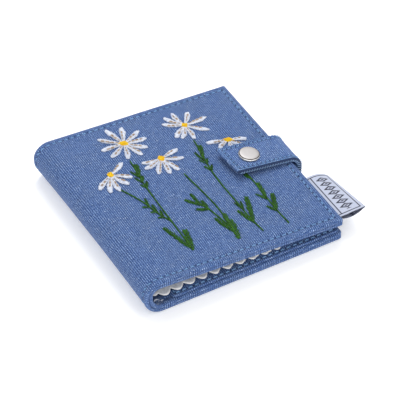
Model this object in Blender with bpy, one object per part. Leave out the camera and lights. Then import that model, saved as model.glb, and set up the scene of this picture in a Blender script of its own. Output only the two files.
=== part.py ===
"""Needle case: a square, book-like fabric case with two felt leaves and a press-stud tab.

Frame: +X from the spine to the fore-edge, +Y from the tail to the head, +Z up. The origin is the
middle of the flat underside of the back cover. Lengths below are in millimetres, and a section is
drawn in the X-Z plane. The case is modelled closed.
"""
import math

import bmesh
import bpy
from mathutils import Matrix, Vector

for thing in list(bpy.data.objects):
    bpy.data.objects.remove(thing, do_unlink=True)

MM = 0.001

# Case
HALF_WIDTH = 57.0          # origin to the spine's face, and to the fore-edge
HALF_DEPTH = 59.8          # origin to the head edge, and to the tail edge
SPINE_HEIGHT = 20.4
FORE_HEIGHT = 13.6
LOWER_RADIUS = 10.0        # outer radius of the fold between back cover and spine
UPPER_RADIUS = 8.5         # outer radius of the fold between spine and front cover
CORNER_RADIUS = 1.8        # plan corners at the fore-edge
FOLD_CORNER_RADIUS = 1.2   # plan corners beside the spine

# Layers of a cover, from its outer face inward
LAYER_GAP = 0.1
FABRIC = 0.9
WADDING = 1.0
BOARD = 1.3
LINING = 0.8
POCKET = 1.1
WADDING_DEPTH = FABRIC + LAYER_GAP
BOARD_DEPTH = WADDING_DEPTH + WADDING + LAYER_GAP
LINING_DEPTH = BOARD_DEPTH + BOARD + LAYER_GAP
COVER_THICKNESS = LINING_DEPTH + LINING
SEAM_DEPTH = 2.2           # where the turned edges of outer fabric and lining meet
EDGE_ROUNDING = 1.0
EDGE_CLEARANCE = 0.3       # from a turned edge to the layers inside it
BOARD_SHORT_END = 3.6      # the board stops short of the fore-edge seam by this much

# Felt leaves
LEAF_THICKNESS = 1.2
LEAF_HINGE = Vector((-49.7, 9.7))
LEAF_START = LEAF_HINGE.x + 0.9
LEAF_END = 52.0
LEAF_HALF_DEPTH = 58.0
LEAF_OFFSET = 0.65         # each leaf's middle, above or below the hinge line
FRONT_LEAF_DROP = 1.75     # how far the leaf's middle sinks from hinge to free edge
BACK_LEAF_DROP = 2.15
SCALLOP_PITCH = 7.4
SCALLOP_DEPTH = 3.4
SCALLOP_STEPS = 4

# Closing tab
TAB_HALF_WIDTH = 10.4
TAB_Y = 0.7                # its middle, a little towards the head
TAB_PLY = 0.8
TAB_INTERFACING = 0.2
TAB_THICKNESS = 2 * TAB_PLY + TAB_INTERFACING + 2 * LAYER_GAP
TAB_FOLD_RADIUS = 2.3      # of the strap's middle line
TAB_SEAM_Z = 2.6
TAB_SEAM_START = 53.9
TAB_FOLD_START = 57.6
TAB_BEND_Z = 13.3
TAB_BEND_TURN = math.radians(83.0)
TAB_REACH = 34.6           # of the flap, past its bend
SEAM_SLOT = 0.25           # room around what is sewn into a seam

# Press stud
SNAP_ALONG = 21.4          # from the bend to the stud's axis, along the flap
SNAP_Y = 0.0                # across the flap, from its middle
CAP_RADIUS = 5.65
CAP_HEIGHT = 1.6
RIVET_RADIUS = 1.1
RIVET_HOLE_RADIUS = 1.5
SOCKET_RADIUS = 4.7
SOCKET_BORE_RADIUS = 2.5
SOCKET_HEIGHT = 1.0
SPRING_RADIUS = 2.15
SPRING_WIRE_RADIUS = 0.16
STUD_FLANGE_RADIUS = 4.0
STUD_KNOB_RADIUS = 1.8
STUD_HEIGHT = 1.8
STUD_BORE_RADIUS = 1.2
POST_RADIUS = 1.0
POST_FLANGE_RADIUS = 4.0
POST_FLANGE = 0.4
ROUND_STEPS = 28

# Woven label, a folded ribbon sewn into the front cover's fore-edge
LABEL_Y = (-55.8, -22.8)
LABEL_OUT = 15.0
LABEL_BULGE = 1.4
LABEL_PLY = 0.35
LABEL_SEWN = 3.0

# Embroidery: raised thread on the front cover
THREAD_LOW = 0.1
THREAD_HIGH = 0.5
DAISY_HUB = 2.4
DAISY_EYE_RADIUS = 2.3
EYE_LOW = 0.6
EYE_HIGH = 1.0
PETAL_HALF_WIDTH = 1.7
STEM_HALF_WIDTH = 0.45

COLOURS = {
    "chambray": ((0.13, 0.23, 0.47), 0.90, 0.0),
    "wadding": ((0.86, 0.86, 0.84), 0.95, 0.0),
    "board": ((0.55, 0.52, 0.46), 0.85, 0.0),
    "felt": ((0.72, 0.71, 0.70), 0.98, 0.0),
    "nickel": ((0.62, 0.61, 0.59), 0.32, 1.0),
    "steel": ((0.55, 0.56, 0.57), 0.35, 1.0),
    "label": ((0.78, 0.79, 0.88), 0.80, 0.0),
    "white_thread": ((0.90, 0.90, 0.92), 0.60, 0.0),
    "yellow_thread": ((0.85, 0.62, 0.06), 0.60, 0.0),
    "green_thread": ((0.05, 0.20, 0.05), 0.65, 0.0),
}


class Fold:
    """A soft fold in a strip: an arc whose hinge lets the far side end flat at its true length."""

    def __init__(self, start, heading, turn, radius):
        side = math.copysign(1.0, turn)
        ahead = Vector((math.cos(heading), math.sin(heading)))
        left = Vector((-ahead.y, ahead.x))
        self.start = start
        self.radius = radius
        self.centre = start + side * radius * left
        self.from_angle = math.atan2(*reversed(start - self.centre))
        self.turn = turn
        self.end = self.centre + Matrix.Rotation(turn, 2) @ (start - self.centre)
        self.end_heading = heading + turn
        flat_end = start + abs(turn) * radius * ahead
        moved = flat_end - Matrix.Rotation(-turn, 2) @ self.end
        slant = 1.0 / math.tan(-turn / 2.0)
        self.hinge = 0.5 * Vector((moved.x - slant * moved.y, slant * moved.x + moved.y))

    def arc(self, radius, steps=9, margin=0.0):
        """Points at a radius around the fold, from start to end, less a margin at both ends."""
        trim = math.copysign(margin / radius, self.turn)
        first = self.from_angle + trim
        sweep = self.turn - 2 * trim
        angles = [first + sweep * i / steps for i in range(steps + 1)]
        return [self.centre + radius * Vector((math.cos(a), math.sin(a))) for a in angles]


class Plane:
    """A flat layer's own directions: along it, across it (Y), and away from it."""

    def __init__(self, origin, heading, away):
        self.origin = origin
        self.along = Vector((math.cos(heading), math.sin(heading)))
        self.away = away * Vector((-self.along.y, self.along.x))

    def __call__(self, along, y, height):
        spot = self.origin + along * self.along + height * self.away
        return Vector((spot.x, y, spot.y))


# The section
LOWER_FOLD = Fold(Vector((-HALF_WIDTH + LOWER_RADIUS, 0.0)), math.pi, -math.pi / 2, LOWER_RADIUS)
UPPER_CENTRE = Vector((-HALF_WIDTH + UPPER_RADIUS, SPINE_HEIGHT - UPPER_RADIUS))
TO_FORE_EDGE = Vector((HALF_WIDTH, FORE_HEIGHT)) - UPPER_CENTRE
COVER_SLOPE = math.asin(UPPER_RADIUS / TO_FORE_EDGE.length) - math.atan2(TO_FORE_EDGE.y, TO_FORE_EDGE.x)
UPPER_FOLD = Fold(Vector((-HALF_WIDTH, UPPER_CENTRE.y)), math.pi / 2, -math.pi / 2 - COVER_SLOPE,
                  UPPER_RADIUS)
TAB_ROOT = Fold(Vector((TAB_FOLD_START, TAB_SEAM_Z)), 0.0, math.pi / 2, TAB_FOLD_RADIUS)
TAB_BEND = Fold(Vector((TAB_ROOT.end.x, TAB_BEND_Z)), math.pi / 2, TAB_BEND_TURN, TAB_FOLD_RADIUS)

# Heights are measured outward from an outer face, so a layer inside it has negative heights
BACK = Plane(Vector((0.0, 0.0)), 0.0, -1.0)
FRONT = Plane(UPPER_FOLD.end, UPPER_FOLD.end_heading, 1.0)
RISER = Plane(TAB_ROOT.end, math.pi / 2, -1.0)
FLAP = Plane(TAB_BEND.end, TAB_BEND.end_heading, -1.0)
FRONT_LENGTH = (HALF_WIDTH - UPPER_FOLD.end.x) / math.cos(COVER_SLOPE)

HINGES = {
    "back_cover": Vector((0.0, 0.0)),
    "spine": LOWER_FOLD.hinge,
    "front_cover": UPPER_FOLD.hinge,
    "leaf_front": LEAF_HINGE,
    "leaf_back": LEAF_HINGE,
    "tab_riser": TAB_ROOT.hinge,
    "tab_flap": TAB_BEND.hinge,
}


def make_pivots():
    """One empty for each moving group, on its hinge line."""
    pivots = {}
    for group, hinge in HINGES.items():
        pivot = bpy.data.objects.new("pivot_" + group, None)
        pivot.location = (hinge.x * MM, 0.0, hinge.y * MM)
        bpy.context.scene.collection.objects.link(pivot)
        pivots[group] = pivot
    return pivots


PIVOTS = make_pivots()


def add_piece(name, mesh, group, look, smooth=False):
    """Turn a bmesh, in millimetres in the case's frame, into a named object of a moving group."""
    pivot = PIVOTS[group]
    bmesh.ops.recalc_face_normals(mesh, faces=mesh.faces)
    bmesh.ops.scale(mesh, vec=(MM, MM, MM), verts=mesh.verts)
    bmesh.ops.translate(mesh, vec=-pivot.location, verts=mesh.verts)
    data = bpy.data.meshes.new(name)
    mesh.to_mesh(data)
    mesh.free()
    if smooth:
        data.shade_smooth()
        data.set_sharp_from_angle(angle=math.radians(40.0))
    piece = bpy.data.objects.new(name, data)
    bpy.context.scene.collection.objects.link(piece)
    piece.parent = pivot
    piece.data.materials.append(material(name, look))
    return piece


def material(name, look):
    """A Principled material of the piece's own."""
    colour, roughness, metallic = COLOURS[look]
    surface = bpy.data.materials.new(name)
    surface.use_nodes = True
    shader = surface.node_tree.nodes["Principled BSDF"]
    shader.inputs["Base Color"].default_value = (*colour, 1.0)
    shader.inputs["Roughness"].default_value = roughness
    shader.inputs["Metallic"].default_value = metallic
    surface.diffuse_color = (*colour, 1.0)
    return surface


def loft(rings, closed=False):
    """A skin over rings of points. It is capped at both ends, unless the last ring meets the first."""
    mesh = bmesh.new()
    loops = [[mesh.verts.new(point) for point in ring] for ring in rings]
    pairs = list(zip(loops, loops[1:]))
    if closed:
        pairs.append((loops[-1], loops[0]))
    for low, high in pairs:
        for i in range(len(low)):
            j = (i + 1) % len(low)
            mesh.faces.new((low[i], low[j], high[j], high[i]))
    if not closed:
        mesh.faces.new(reversed(loops[0]))
        mesh.faces.new(loops[-1])
    return mesh


def bar(section, y_low, y_high):
    """A section's outline, carried across the case."""
    return loft([[(p.x, y, p.y) for p in section] for y in (y_low, y_high)])


def prism(place, outline, low, high):
    """A flat outline on a plane, between two heights."""
    return loft([[place(a, y, height) for a, y in outline] for height in (low, high)])


def ribbon(line, thickness):
    """The outline of a strip of even thickness around a line of points."""
    left = []
    right = []
    for i, point in enumerate(line):
        ahead = line[min(i + 1, len(line) - 1)] - line[max(i - 1, 0)]
        across = Vector((-ahead.y, ahead.x)).normalized() * thickness / 2.0
        left.append(point + across)
        right.append(point - across)
    return left + right[::-1]


def rounded_plan(along_low, along_high, half_depth, inset=0.0, steps=4):
    """A cover's plan, inset evenly. Its corners beside the spine are tighter than at the fore-edge."""
    fore = max(CORNER_RADIUS - inset, 0.3)
    fold = max(FOLD_CORNER_RADIUS - inset, 0.2)
    low, high, half = along_low + inset, along_high - inset, half_depth - inset
    corners = [
        (high - fore, half - fore, fore, 0.0),
        (low + fold, half - fold, fold, 0.5),
        (low + fold, fold - half, fold, 1.0),
        (high - fore, fore - half, fore, 1.5),
    ]
    points = []
    for a, y, radius, quarter in corners:
        for i in range(steps + 1):
            angle = math.pi * (quarter + 0.5 * i / steps)
            points.append((a + radius * math.cos(angle), y + radius * math.sin(angle)))
    return points


def tray(place, span, face, floor, rim, wall):
    """A panel with its edge turned up: from its rounded face to a rim, and back down to its floor."""
    into = math.copysign(1.0, rim - face)
    levels = [
        (EDGE_ROUNDING, face),
        (0.3 * EDGE_ROUNDING, face + 0.3 * EDGE_ROUNDING * into),
        (0.0, face + EDGE_ROUNDING * into),
        (0.0, rim),
        (wall, rim),
        (wall, floor),
    ]
    return loft([[place(a, y, height) for a, y in rounded_plan(*span, HALF_DEPTH, inset)]
                 for inset, height in levels])


def turned(place, profile, closed=False, steps=ROUND_STEPS):
    """A turned piece about a plane's own normal. The profile is a list of radii and heights."""
    angles = [2.0 * math.pi * i / steps for i in range(steps)]
    return loft([[place(radius * math.cos(a), radius * math.sin(a), height) for a in angles]
                 for radius, height in profile], closed)


def shifted(place, along, y=0.0):
    """The same plane, measured from a point on it."""
    return lambda a, b, height: place(along + a, y + b, height)


def cutter(name, mesh):
    """A guide that cuts other pieces and isn't one itself."""
    bmesh.ops.recalc_face_normals(mesh, faces=mesh.faces)
    bmesh.ops.scale(mesh, vec=(MM, MM, MM), verts=mesh.verts)
    data = bpy.data.meshes.new(name)
    mesh.to_mesh(data)
    mesh.free()
    guide = bpy.data.objects.new(name, data)
    guide.hide_render = True
    guide.display_type = "WIRE"
    bpy.context.scene.collection.objects.link(guide)
    return guide


def cut(piece, guide):
    """Take a guide's shape out of a piece."""
    step = piece.modifiers.new("cut_" + guide.name, "BOOLEAN")
    step.operation = "DIFFERENCE"
    step.solver = "EXACT"
    step.object = guide


def make_cover(name, place, span):
    """A cover's four layers. The outer fabric and the lining have turned edges that meet in a seam."""
    outer = tray(place, span, 0.0, -FABRIC, -SEAM_DEPTH, FABRIC)
    lining = tray(place, span, -COVER_THICKNESS, -LINING_DEPTH, -SEAM_DEPTH - LAYER_GAP, LINING)
    inset = FABRIC + EDGE_CLEARANCE
    wadding = [(a, y) for a, y in rounded_plan(*span, HALF_DEPTH, inset)]
    board_span = (span[0], span[1] - BOARD_SHORT_END)
    board = [(a, y) for a, y in rounded_plan(*board_span, HALF_DEPTH, inset)]
    pieces = {
        "outer": (outer, "chambray"),
        "wadding": (prism(place, wadding, -WADDING_DEPTH, -WADDING_DEPTH - WADDING), "wadding"),
        "board": (prism(place, board, -BOARD_DEPTH, -BOARD_DEPTH - BOARD), "board"),
        "lining": (lining, "chambray"),
    }
    return {layer: add_piece(name + "_" + layer, mesh, name, look)
            for layer, (mesh, look) in pieces.items()}


def fold_section(fold, near, far, lead=()):
    """The section of one layer around a fold, between two radii, after any points that lead into it."""
    outer = [Vector((x, fold.centre.y - far)) for x in lead] + fold.arc(far, margin=LAYER_GAP)
    inner = [Vector((x, fold.centre.y - near)) for x in lead] + fold.arc(near, margin=LAYER_GAP)
    return outer + inner[::-1]


def make_fold(name, fold, group):
    """The three soft layers that run on around a fold."""
    half = HALF_DEPTH - EDGE_ROUNDING
    layers = {
        "outer": (0.0, FABRIC, "chambray"),
        "wadding": (WADDING_DEPTH, LINING_DEPTH - LAYER_GAP - WADDING_DEPTH, "wadding"),
        "lining": (LINING_DEPTH, LINING, "chambray"),
    }
    for layer, (depth, thickness, look) in layers.items():
        section = fold_section(fold, fold.radius - depth - thickness, fold.radius - depth)
        add_piece(name + "_" + layer, bar(section, -half, half), group, look, smooth=True)


def make_spine():
    """The spine's flat middle, between the two folds, and the felt's stitched fold on its lining."""
    low = LOWER_FOLD.end.y + LAYER_GAP / 2
    high = UPPER_FOLD.start.y - LAYER_GAP / 2
    half = HALF_DEPTH - EDGE_ROUNDING
    layers = {
        "spine_outer": (0.0, FABRIC, "chambray"),
        "spine_wadding": (WADDING_DEPTH, LINING_DEPTH - LAYER_GAP - WADDING_DEPTH, "wadding"),
        "spine_lining": (LINING_DEPTH, LINING, "chambray"),
    }
    for name, (depth, thickness, look) in layers.items():
        x = -HALF_WIDTH + depth
        section = [Vector(p) for p in ((x, low), (x + thickness, low), (x + thickness, high), (x, high))]
        add_piece(name, bar(section, -half, half), "spine", look)
    x_low = -HALF_WIDTH + COVER_THICKNESS + EDGE_CLEARANCE
    x_high = LEAF_START - 0.4
    middle = [Vector((x_low, LEAF_HINGE.y)), Vector((x_high, LEAF_HINGE.y))]
    depth = LEAF_HALF_DEPTH - SCALLOP_DEPTH
    add_piece("felt_stitched_fold", bar(ribbon(middle, LEAF_THICKNESS), -depth, depth), "spine", "felt")


def scallops(start, end):
    """Round pinked teeth along one straight edge, from start towards end, to the right of the way."""
    way = end - start
    count = round(way.length / SCALLOP_PITCH)
    out = Vector((way.y, -way.x)).normalized() * SCALLOP_DEPTH
    points = []
    for i in range(count * SCALLOP_STEPS):
        share = i / (count * SCALLOP_STEPS)
        wave = 0.5 - 0.5 * math.cos(2.0 * math.pi * i / SCALLOP_STEPS)
        points.append(start + share * way + wave * out)
    return points


def make_leaf(name, group, offset, drop):
    """A felt leaf, straight along the spine and pinked on its other three edges."""
    valley = LEAF_HALF_DEPTH - SCALLOP_DEPTH
    inner = [Vector((LEAF_START, -valley)), Vector((LEAF_END - SCALLOP_DEPTH, -valley)),
             Vector((LEAF_END - SCALLOP_DEPTH, valley)), Vector((LEAF_START, valley))]
    outline = []
    for start, end in zip(inner, inner[1:]):
        outline += scallops(start, end)
    outline.append(inner[-1])
    tilt = -math.atan2(drop, LEAF_END - LEAF_START)
    place = Plane(Vector((LEAF_START, LEAF_HINGE.y + offset)), tilt, 1.0)
    flat = [((p.x - LEAF_START) / math.cos(tilt), p.y) for p in outline]
    half = LEAF_THICKNESS / 2
    add_piece(name, prism(place, flat, -half, half), group, "felt")


def make_tab():
    """The strap: sewn into the back cover's seam, up past the fore-edge, and over the front cover."""
    rise = TAB_BEND_Z - TAB_ROOT.end.y
    ply_offset = (TAB_THICKNESS - TAB_PLY) / 2
    y_span = (TAB_Y - TAB_HALF_WIDTH, TAB_Y + TAB_HALF_WIDTH)
    for layer, middle in (("outer", ply_offset), ("lining", -ply_offset)):
        low, high = middle - TAB_PLY / 2, middle + TAB_PLY / 2
        near, far = TAB_FOLD_RADIUS + low, TAB_FOLD_RADIUS + high
        straight = [(LAYER_GAP, low), (rise - LAYER_GAP, low), (rise - LAYER_GAP, high), (LAYER_GAP, high)]
        sections = {
            "tab_root_": (fold_section(TAB_ROOT, near, far, [TAB_SEAM_START]), "back_cover"),
            "tab_riser_": ([RISER(a, 0.0, height).xz for a, height in straight], "tab_riser"),
            "tab_bend_": (fold_section(TAB_BEND, near, far), "tab_riser"),
        }
        for name, (section, group) in sections.items():
            add_piece(name + layer, bar(section, *y_span), group, "chambray")
    outline = [(LAYER_GAP, -TAB_HALF_WIDTH), (TAB_REACH - 1.0, -TAB_HALF_WIDTH),
               (TAB_REACH, 1.0 - TAB_HALF_WIDTH), (TAB_REACH, TAB_HALF_WIDTH - 1.0),
               (TAB_REACH - 1.0, TAB_HALF_WIDTH), (LAYER_GAP, TAB_HALF_WIDTH)]
    inner = [(a * 0.95 + 0.8, y * 0.93) for a, y in outline]
    top = TAB_THICKNESS / 2
    core = TAB_INTERFACING / 2
    hole = cutter("rivet_hole", turned(shifted(FLAP, SNAP_ALONG, SNAP_Y),
                                       [(RIVET_HOLE_RADIUS, -2.0), (RIVET_HOLE_RADIUS, 2.0)]))
    for name, shape, low, high, look in (
            ("tab_flap_outer", outline, top - TAB_PLY, top, "chambray"),
            ("tab_flap_interfacing", inner, -core, core, "wadding"),
            ("tab_flap_lining", outline, -top, TAB_PLY - top, "chambray")):
        cut(add_piece(name, prism(shifted(FLAP, 0.0, TAB_Y), shape, low, high), "tab_flap", look), hole)


def make_press_stud(front):
    """Cap, socket and spring on the flap, and the stud and its post on the front cover."""
    on_flap = shifted(FLAP, SNAP_ALONG, SNAP_Y)
    top = TAB_THICKNESS / 2 + LAYER_GAP
    crown = top + CAP_HEIGHT
    cap = [(RIVET_RADIUS, LAYER_GAP - TAB_THICKNESS / 2), (RIVET_RADIUS, top), (CAP_RADIUS - 0.4, top),
           (CAP_RADIUS, top + 0.3), (CAP_RADIUS, crown - 0.45), (CAP_RADIUS - 0.7, crown),
           (CAP_RADIUS - 1.2, crown), (CAP_RADIUS - 1.5, crown - 0.15)]
    add_piece("snap_cap", turned(on_flap, cap), "tab_flap", "nickel", smooth=True)
    under = -TAB_THICKNESS / 2 - LAYER_GAP
    floor = under - SOCKET_HEIGHT
    socket = [(SOCKET_BORE_RADIUS, under), (SOCKET_RADIUS - 0.6, under), (SOCKET_RADIUS, under - 0.4),
              (SOCKET_RADIUS - 0.3, floor + 0.3), (SOCKET_BORE_RADIUS + 0.7, floor),
              (SOCKET_BORE_RADIUS, floor + 0.2)]
    add_piece("snap_socket", turned(on_flap, socket, closed=True), "tab_flap", "nickel", smooth=True)
    add_piece("snap_spring", spring_ring(on_flap, under - SOCKET_HEIGHT / 2), "tab_flap", "steel",
              smooth=True)
    seat = TAB_BEND.end + SNAP_ALONG * FLAP.along - FRONT.origin
    on_cover = shifted(FRONT, seat.dot(FRONT.along), SNAP_Y)
    stud = [(STUD_BORE_RADIUS, LAYER_GAP), (STUD_FLANGE_RADIUS, LAYER_GAP), (STUD_FLANGE_RADIUS, 0.35),
            (STUD_KNOB_RADIUS + 0.3, 0.5), (STUD_KNOB_RADIUS - 0.15, 0.8),
            (STUD_KNOB_RADIUS, STUD_HEIGHT - 0.35), (STUD_KNOB_RADIUS - 0.4, STUD_HEIGHT)]
    stud = stud[::-1] + [(STUD_BORE_RADIUS, STUD_HEIGHT - 0.5)]
    add_piece("snap_stud", turned(on_cover, stud), "front_cover", "nickel", smooth=True)
    flange = -WADDING_DEPTH
    post = [(POST_FLANGE_RADIUS, flange - POST_FLANGE), (POST_FLANGE_RADIUS, flange),
            (POST_RADIUS, flange), (POST_RADIUS, STUD_HEIGHT - 0.7)]
    add_piece("snap_post", turned(on_cover, post), "front_cover", "nickel", smooth=True)
    post_hole = turned(on_cover, [(POST_RADIUS + 0.3, 2.0), (POST_RADIUS + 0.3, -1.6 * FABRIC)])
    cut(front["outer"], cutter("post_hole", post_hole))
    room = POST_FLANGE_RADIUS + 0.4
    flange_room = turned(on_cover, [(room, -FABRIC), (room, -BOARD_DEPTH)])
    cut(front["wadding"], cutter("post_flange_room", flange_room))


def spring_ring(place, height):
    """A split ring of round wire, open over a short stretch."""
    opening = math.radians(30.0)
    steps = 22
    sides = 5
    rings = []
    for i in range(steps + 1):
        around = opening / 2 + (2.0 * math.pi - opening) * i / steps
        ring = []
        for k in range(sides):
            angle = 2.0 * math.pi * k / sides
            radius = SPRING_RADIUS + SPRING_WIRE_RADIUS * math.cos(angle)
            rise = height + SPRING_WIRE_RADIUS * math.sin(angle)
            ring.append(place(radius * math.cos(around), radius * math.sin(around), rise))
        rings.append(ring)
    return loft(rings)


def make_label(front, back):
    """The label's hairpin of ribbon, and the two seam openings that straps and label pass through."""
    half_gap = (LABEL_PLY + LAYER_GAP) / 2
    seam = -SEAM_DEPTH
    run = [Vector((a, half_gap + (LABEL_BULGE - half_gap) * math.sin(math.pi * share / 2.0) ** 2))
           for share, a in ((i / 6.0, (LABEL_OUT - LABEL_BULGE) * i / 6.0) for i in range(7))]
    tip = LABEL_OUT - LABEL_BULGE
    bow = [Vector((tip + LABEL_BULGE * math.sin(angle), LABEL_BULGE * math.cos(angle)))
           for angle in (math.pi * i / 8.0 for i in range(1, 8))]
    upper = [Vector((-LABEL_SEWN, half_gap))] + run
    lower = [Vector((p.x, -p.y)) for p in reversed(upper)]
    outline = ribbon(upper + bow + lower, LABEL_PLY)
    place = shifted(FRONT, FRONT_LENGTH)
    rings = [[place(p.x, y, seam + p.y) for p in outline] for y in LABEL_Y]
    add_piece("woven_label", loft(rings), "front_cover", "label", smooth=True)

    def slot(where, name, y_low, y_high, low, high):
        corners = [(-4.0, low), (2.0, low), (2.0, high), (-4.0, high)]
        rings = [[where(a, y, height) for a, height in corners] for y in (y_low, y_high)]
        return cutter(name, loft(rings))

    room = LABEL_PLY + LAYER_GAP / 2 + SEAM_SLOT
    label_slot = slot(place, "label_slot", LABEL_Y[0] - SEAM_SLOT, LABEL_Y[1] + SEAM_SLOT,
                      seam - room, seam + room)
    tab_room = TAB_THICKNESS / 2 + SEAM_SLOT
    tab_half = TAB_HALF_WIDTH + SEAM_SLOT
    tab_slot = slot(shifted(BACK, HALF_WIDTH), "tab_slot", TAB_Y - tab_half, TAB_Y + tab_half,
                    -TAB_SEAM_Z - tab_room, -TAB_SEAM_Z + tab_room)
    for layer in ("outer", "lining", "wadding"):
        cut(front[layer], label_slot)
        cut(back[layer], tab_slot)


def on_front(x):
    """Distance along the front cover of a point above a given X."""
    return (x - FRONT.origin.x) / math.cos(COVER_SLOPE)


def daisy_outline(petals):
    """A star of rounded petals about a hub. Each petal is an angle in degrees and a reach."""
    petals = sorted(petals)
    points = []
    for i, (angle, reach) in enumerate(petals):
        before = (angle - petals[i - 1][0]) % 360.0
        after = (petals[(i + 1) % len(petals)][0] - angle) % 360.0
        room = math.radians(0.42 * min(before, after))
        for share, width, way in ((0.3, 0.7, -1), (0.65, 1.0, -1), (0.9, 0.6, -1), (1.0, 0.0, 1),
                                  (0.9, 0.6, 1), (0.65, 1.0, 1), (0.3, 0.7, 1)):
            radius = max(share * reach, DAISY_HUB)
            lean = min(math.atan(width * PETAL_HALF_WIDTH / radius), room)
            turn = math.radians(angle) + way * lean
            points.append((radius * math.cos(turn), radius * math.sin(turn)))
    return points


def stem_outline(line, leaves):
    """A stem from top to bottom with leaves on its sides. A leaf is a root Y, a side and a tip offset."""
    sides = {-1: [], 1: []}
    for side, points in sides.items():
        marks = [(y, None) for x, y in line]
        marks += [(root, (tip, width)) for root, leaf_side, tip, width in leaves if leaf_side == side]
        for y, leaf in sorted(marks, key=lambda mark: -mark[0]):
            x = stem_x(line, y) + side * STEM_HALF_WIDTH
            if leaf is None:
                points.append((x, y))
                continue
            (dx, dy), width = leaf
            length = math.hypot(dx, dy)
            across = (side * dy / length * width, -side * dx / length * width)
            points.append((x, y + 0.5))
            points.append((x + 0.55 * dx - across[0], y + 0.55 * dy - across[1]))
            points.append((x + dx, y + dy))
            points.append((x + 0.45 * dx + across[0], y + 0.45 * dy + across[1]))
            points.append((x, y - 0.9))
    return sides[-1] + sides[1][::-1]


def stem_x(line, y):
    """A stem's X at a given Y."""
    for (x_high, y_high), (x_low, y_low) in zip(line, line[1:]):
        if y >= y_low:
            return x_low + (x_high - x_low) * (y - y_low) / (y_high - y_low)
    return line[-1][0]


def make_embroidery():
    """Five daisies with their eyes, and five stems with their leaves."""
    daisies = [
        ((-14.5, 39.9), [(141, 13.5), (102, 14), (65, 13), (25, 13), (-5, 12.5), (-39, 12.5), (-70, 12.5),
                         (-104, 12), (-145, 12.5), (180, 12.5)]),
        ((-32.4, 21.1), [(29, 11.5), (-31, 11), (-64, 11.5), (-99, 13), (-121, 13.5), (-146, 12.5)]),
        ((-3.0, 20.9), [(16, 11.5), (-25, 11.5), (-67, 12), (-95, 12), (-127, 12), (-160, 11.5),
                        (178, 10.5)]),
        ((21.0, 39.0), [(50, 11), (5, 13.5), (-43, 13), (-88, 11.5), (-120, 10.5), (-146, 11),
                        (154, 11.5), (127, 12), (100, 11.5)]),
        ((35.5, 18.7), [(165, 11.5), (-15, 9.5), (-160, 8), (-100, 8), (-55, 8)]),
    ]
    for number, ((x, y), petals) in enumerate(daisies, 1):
        place = shifted(FRONT, on_front(x), y)
        petals_mesh = prism(place, daisy_outline(petals), THREAD_LOW, THREAD_HIGH)
        add_piece("daisy_%d_petals" % number, petals_mesh, "front_cover", "white_thread")
        eye = [(DAISY_EYE_RADIUS, EYE_LOW), (0.7 * DAISY_EYE_RADIUS, EYE_HIGH)]
        add_piece("daisy_%d_eye" % number, turned(place, eye, steps=12), "front_cover", "yellow_thread")
    stems = [
        ([(-18.2, 26.6), (-20.1, 4.4), (-20.9, -9.0), (-21.9, -26.0), (-22.6, -47.0)],
         [(6.0, -1, (-2.2, 8.0), 0.7), (4.0, 1, (4.0, 9.0), 1.0), (-38.5, -1, (-5.0, 13.0), 1.2),
          (-43.0, 1, (4.5, 12.0), 1.3)]),
        ([(-32.2, 6.6), (-27.5, -5.6), (-23.6, -17.0)],
         [(-6.0, 1, (2.4, 5.0), 0.5), (-8.5, -1, (-3.6, 3.0), 0.6), (-14.0, -1, (-3.2, 3.4), 0.6)]),
        ([(1.8, 7.8), (3.5, -11.4), (4.6, -30.0), (2.6, -49.0)],
         [(-31.0, -1, (-6.0, 14.0), 1.0), (-42.0, -1, (-5.0, 9.0), 1.0), (-45.0, 1, (3.5, 11.0), 1.2)]),
        ([(20.4, 26.0), (16.5, 2.2), (15.9, -5.8), (15.0, -23.0), (15.9, -49.5)],
         [(10.0, -1, (-4.5, 8.0), 0.9), (6.0, 1, (4.0, 9.0), 0.9), (-38.0, 1, (5.0, 13.0), 1.2),
          (-41.5, -1, (-4.0, 10.5), 1.1)]),
        ([(30.7, -9.4), (30.9, -18.0), (30.4, -50.0)],
         [(-28.5, -1, (-3.8, 5.5), 0.8), (-37.0, 1, (3.6, 9.5), 0.9), (-38.5, -1, (-3.8, 5.5), 0.8)]),
    ]
    for number, (line, leaves) in enumerate(stems, 1):
        outline = [(on_front(x), y) for x, y in stem_outline(line, leaves)]
        mesh = prism(FRONT, outline, THREAD_LOW, THREAD_HIGH)
        add_piece("stem_%d" % number, mesh, "front_cover", "green_thread")


def make_case():
    back = make_cover("back_cover", BACK, (LOWER_FOLD.start.x, HALF_WIDTH))
    front = make_cover("front_cover", FRONT, (0.0, FRONT_LENGTH))
    pocket = rounded_plan(LOWER_FOLD.start.x + 5.0, HALF_WIDTH, HALF_DEPTH, inset=1.5)
    pocket_low = -COVER_THICKNESS - LAYER_GAP
    add_piece("back_cover_pocket", prism(BACK, pocket, pocket_low, pocket_low - POCKET), "back_cover",
              "chambray")
    make_spine()
    make_fold("lower_fold", LOWER_FOLD, "back_cover")
    make_fold("upper_fold", UPPER_FOLD, "spine")
    make_leaf("felt_leaf_front", "leaf_front", LEAF_OFFSET, FRONT_LEAF_DROP)
    make_leaf("felt_leaf_back", "leaf_back", -LEAF_OFFSET, BACK_LEAF_DROP)
    make_tab()
    make_press_stud(front)
    make_label(front, back)
    make_embroidery()


make_case()
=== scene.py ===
"""Needle case: how it looks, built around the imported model.

Lengths are millimetres in the model's frame: +X spine to fore-edge, +Y tail to head, +Z up.
"""
import math
import random

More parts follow.
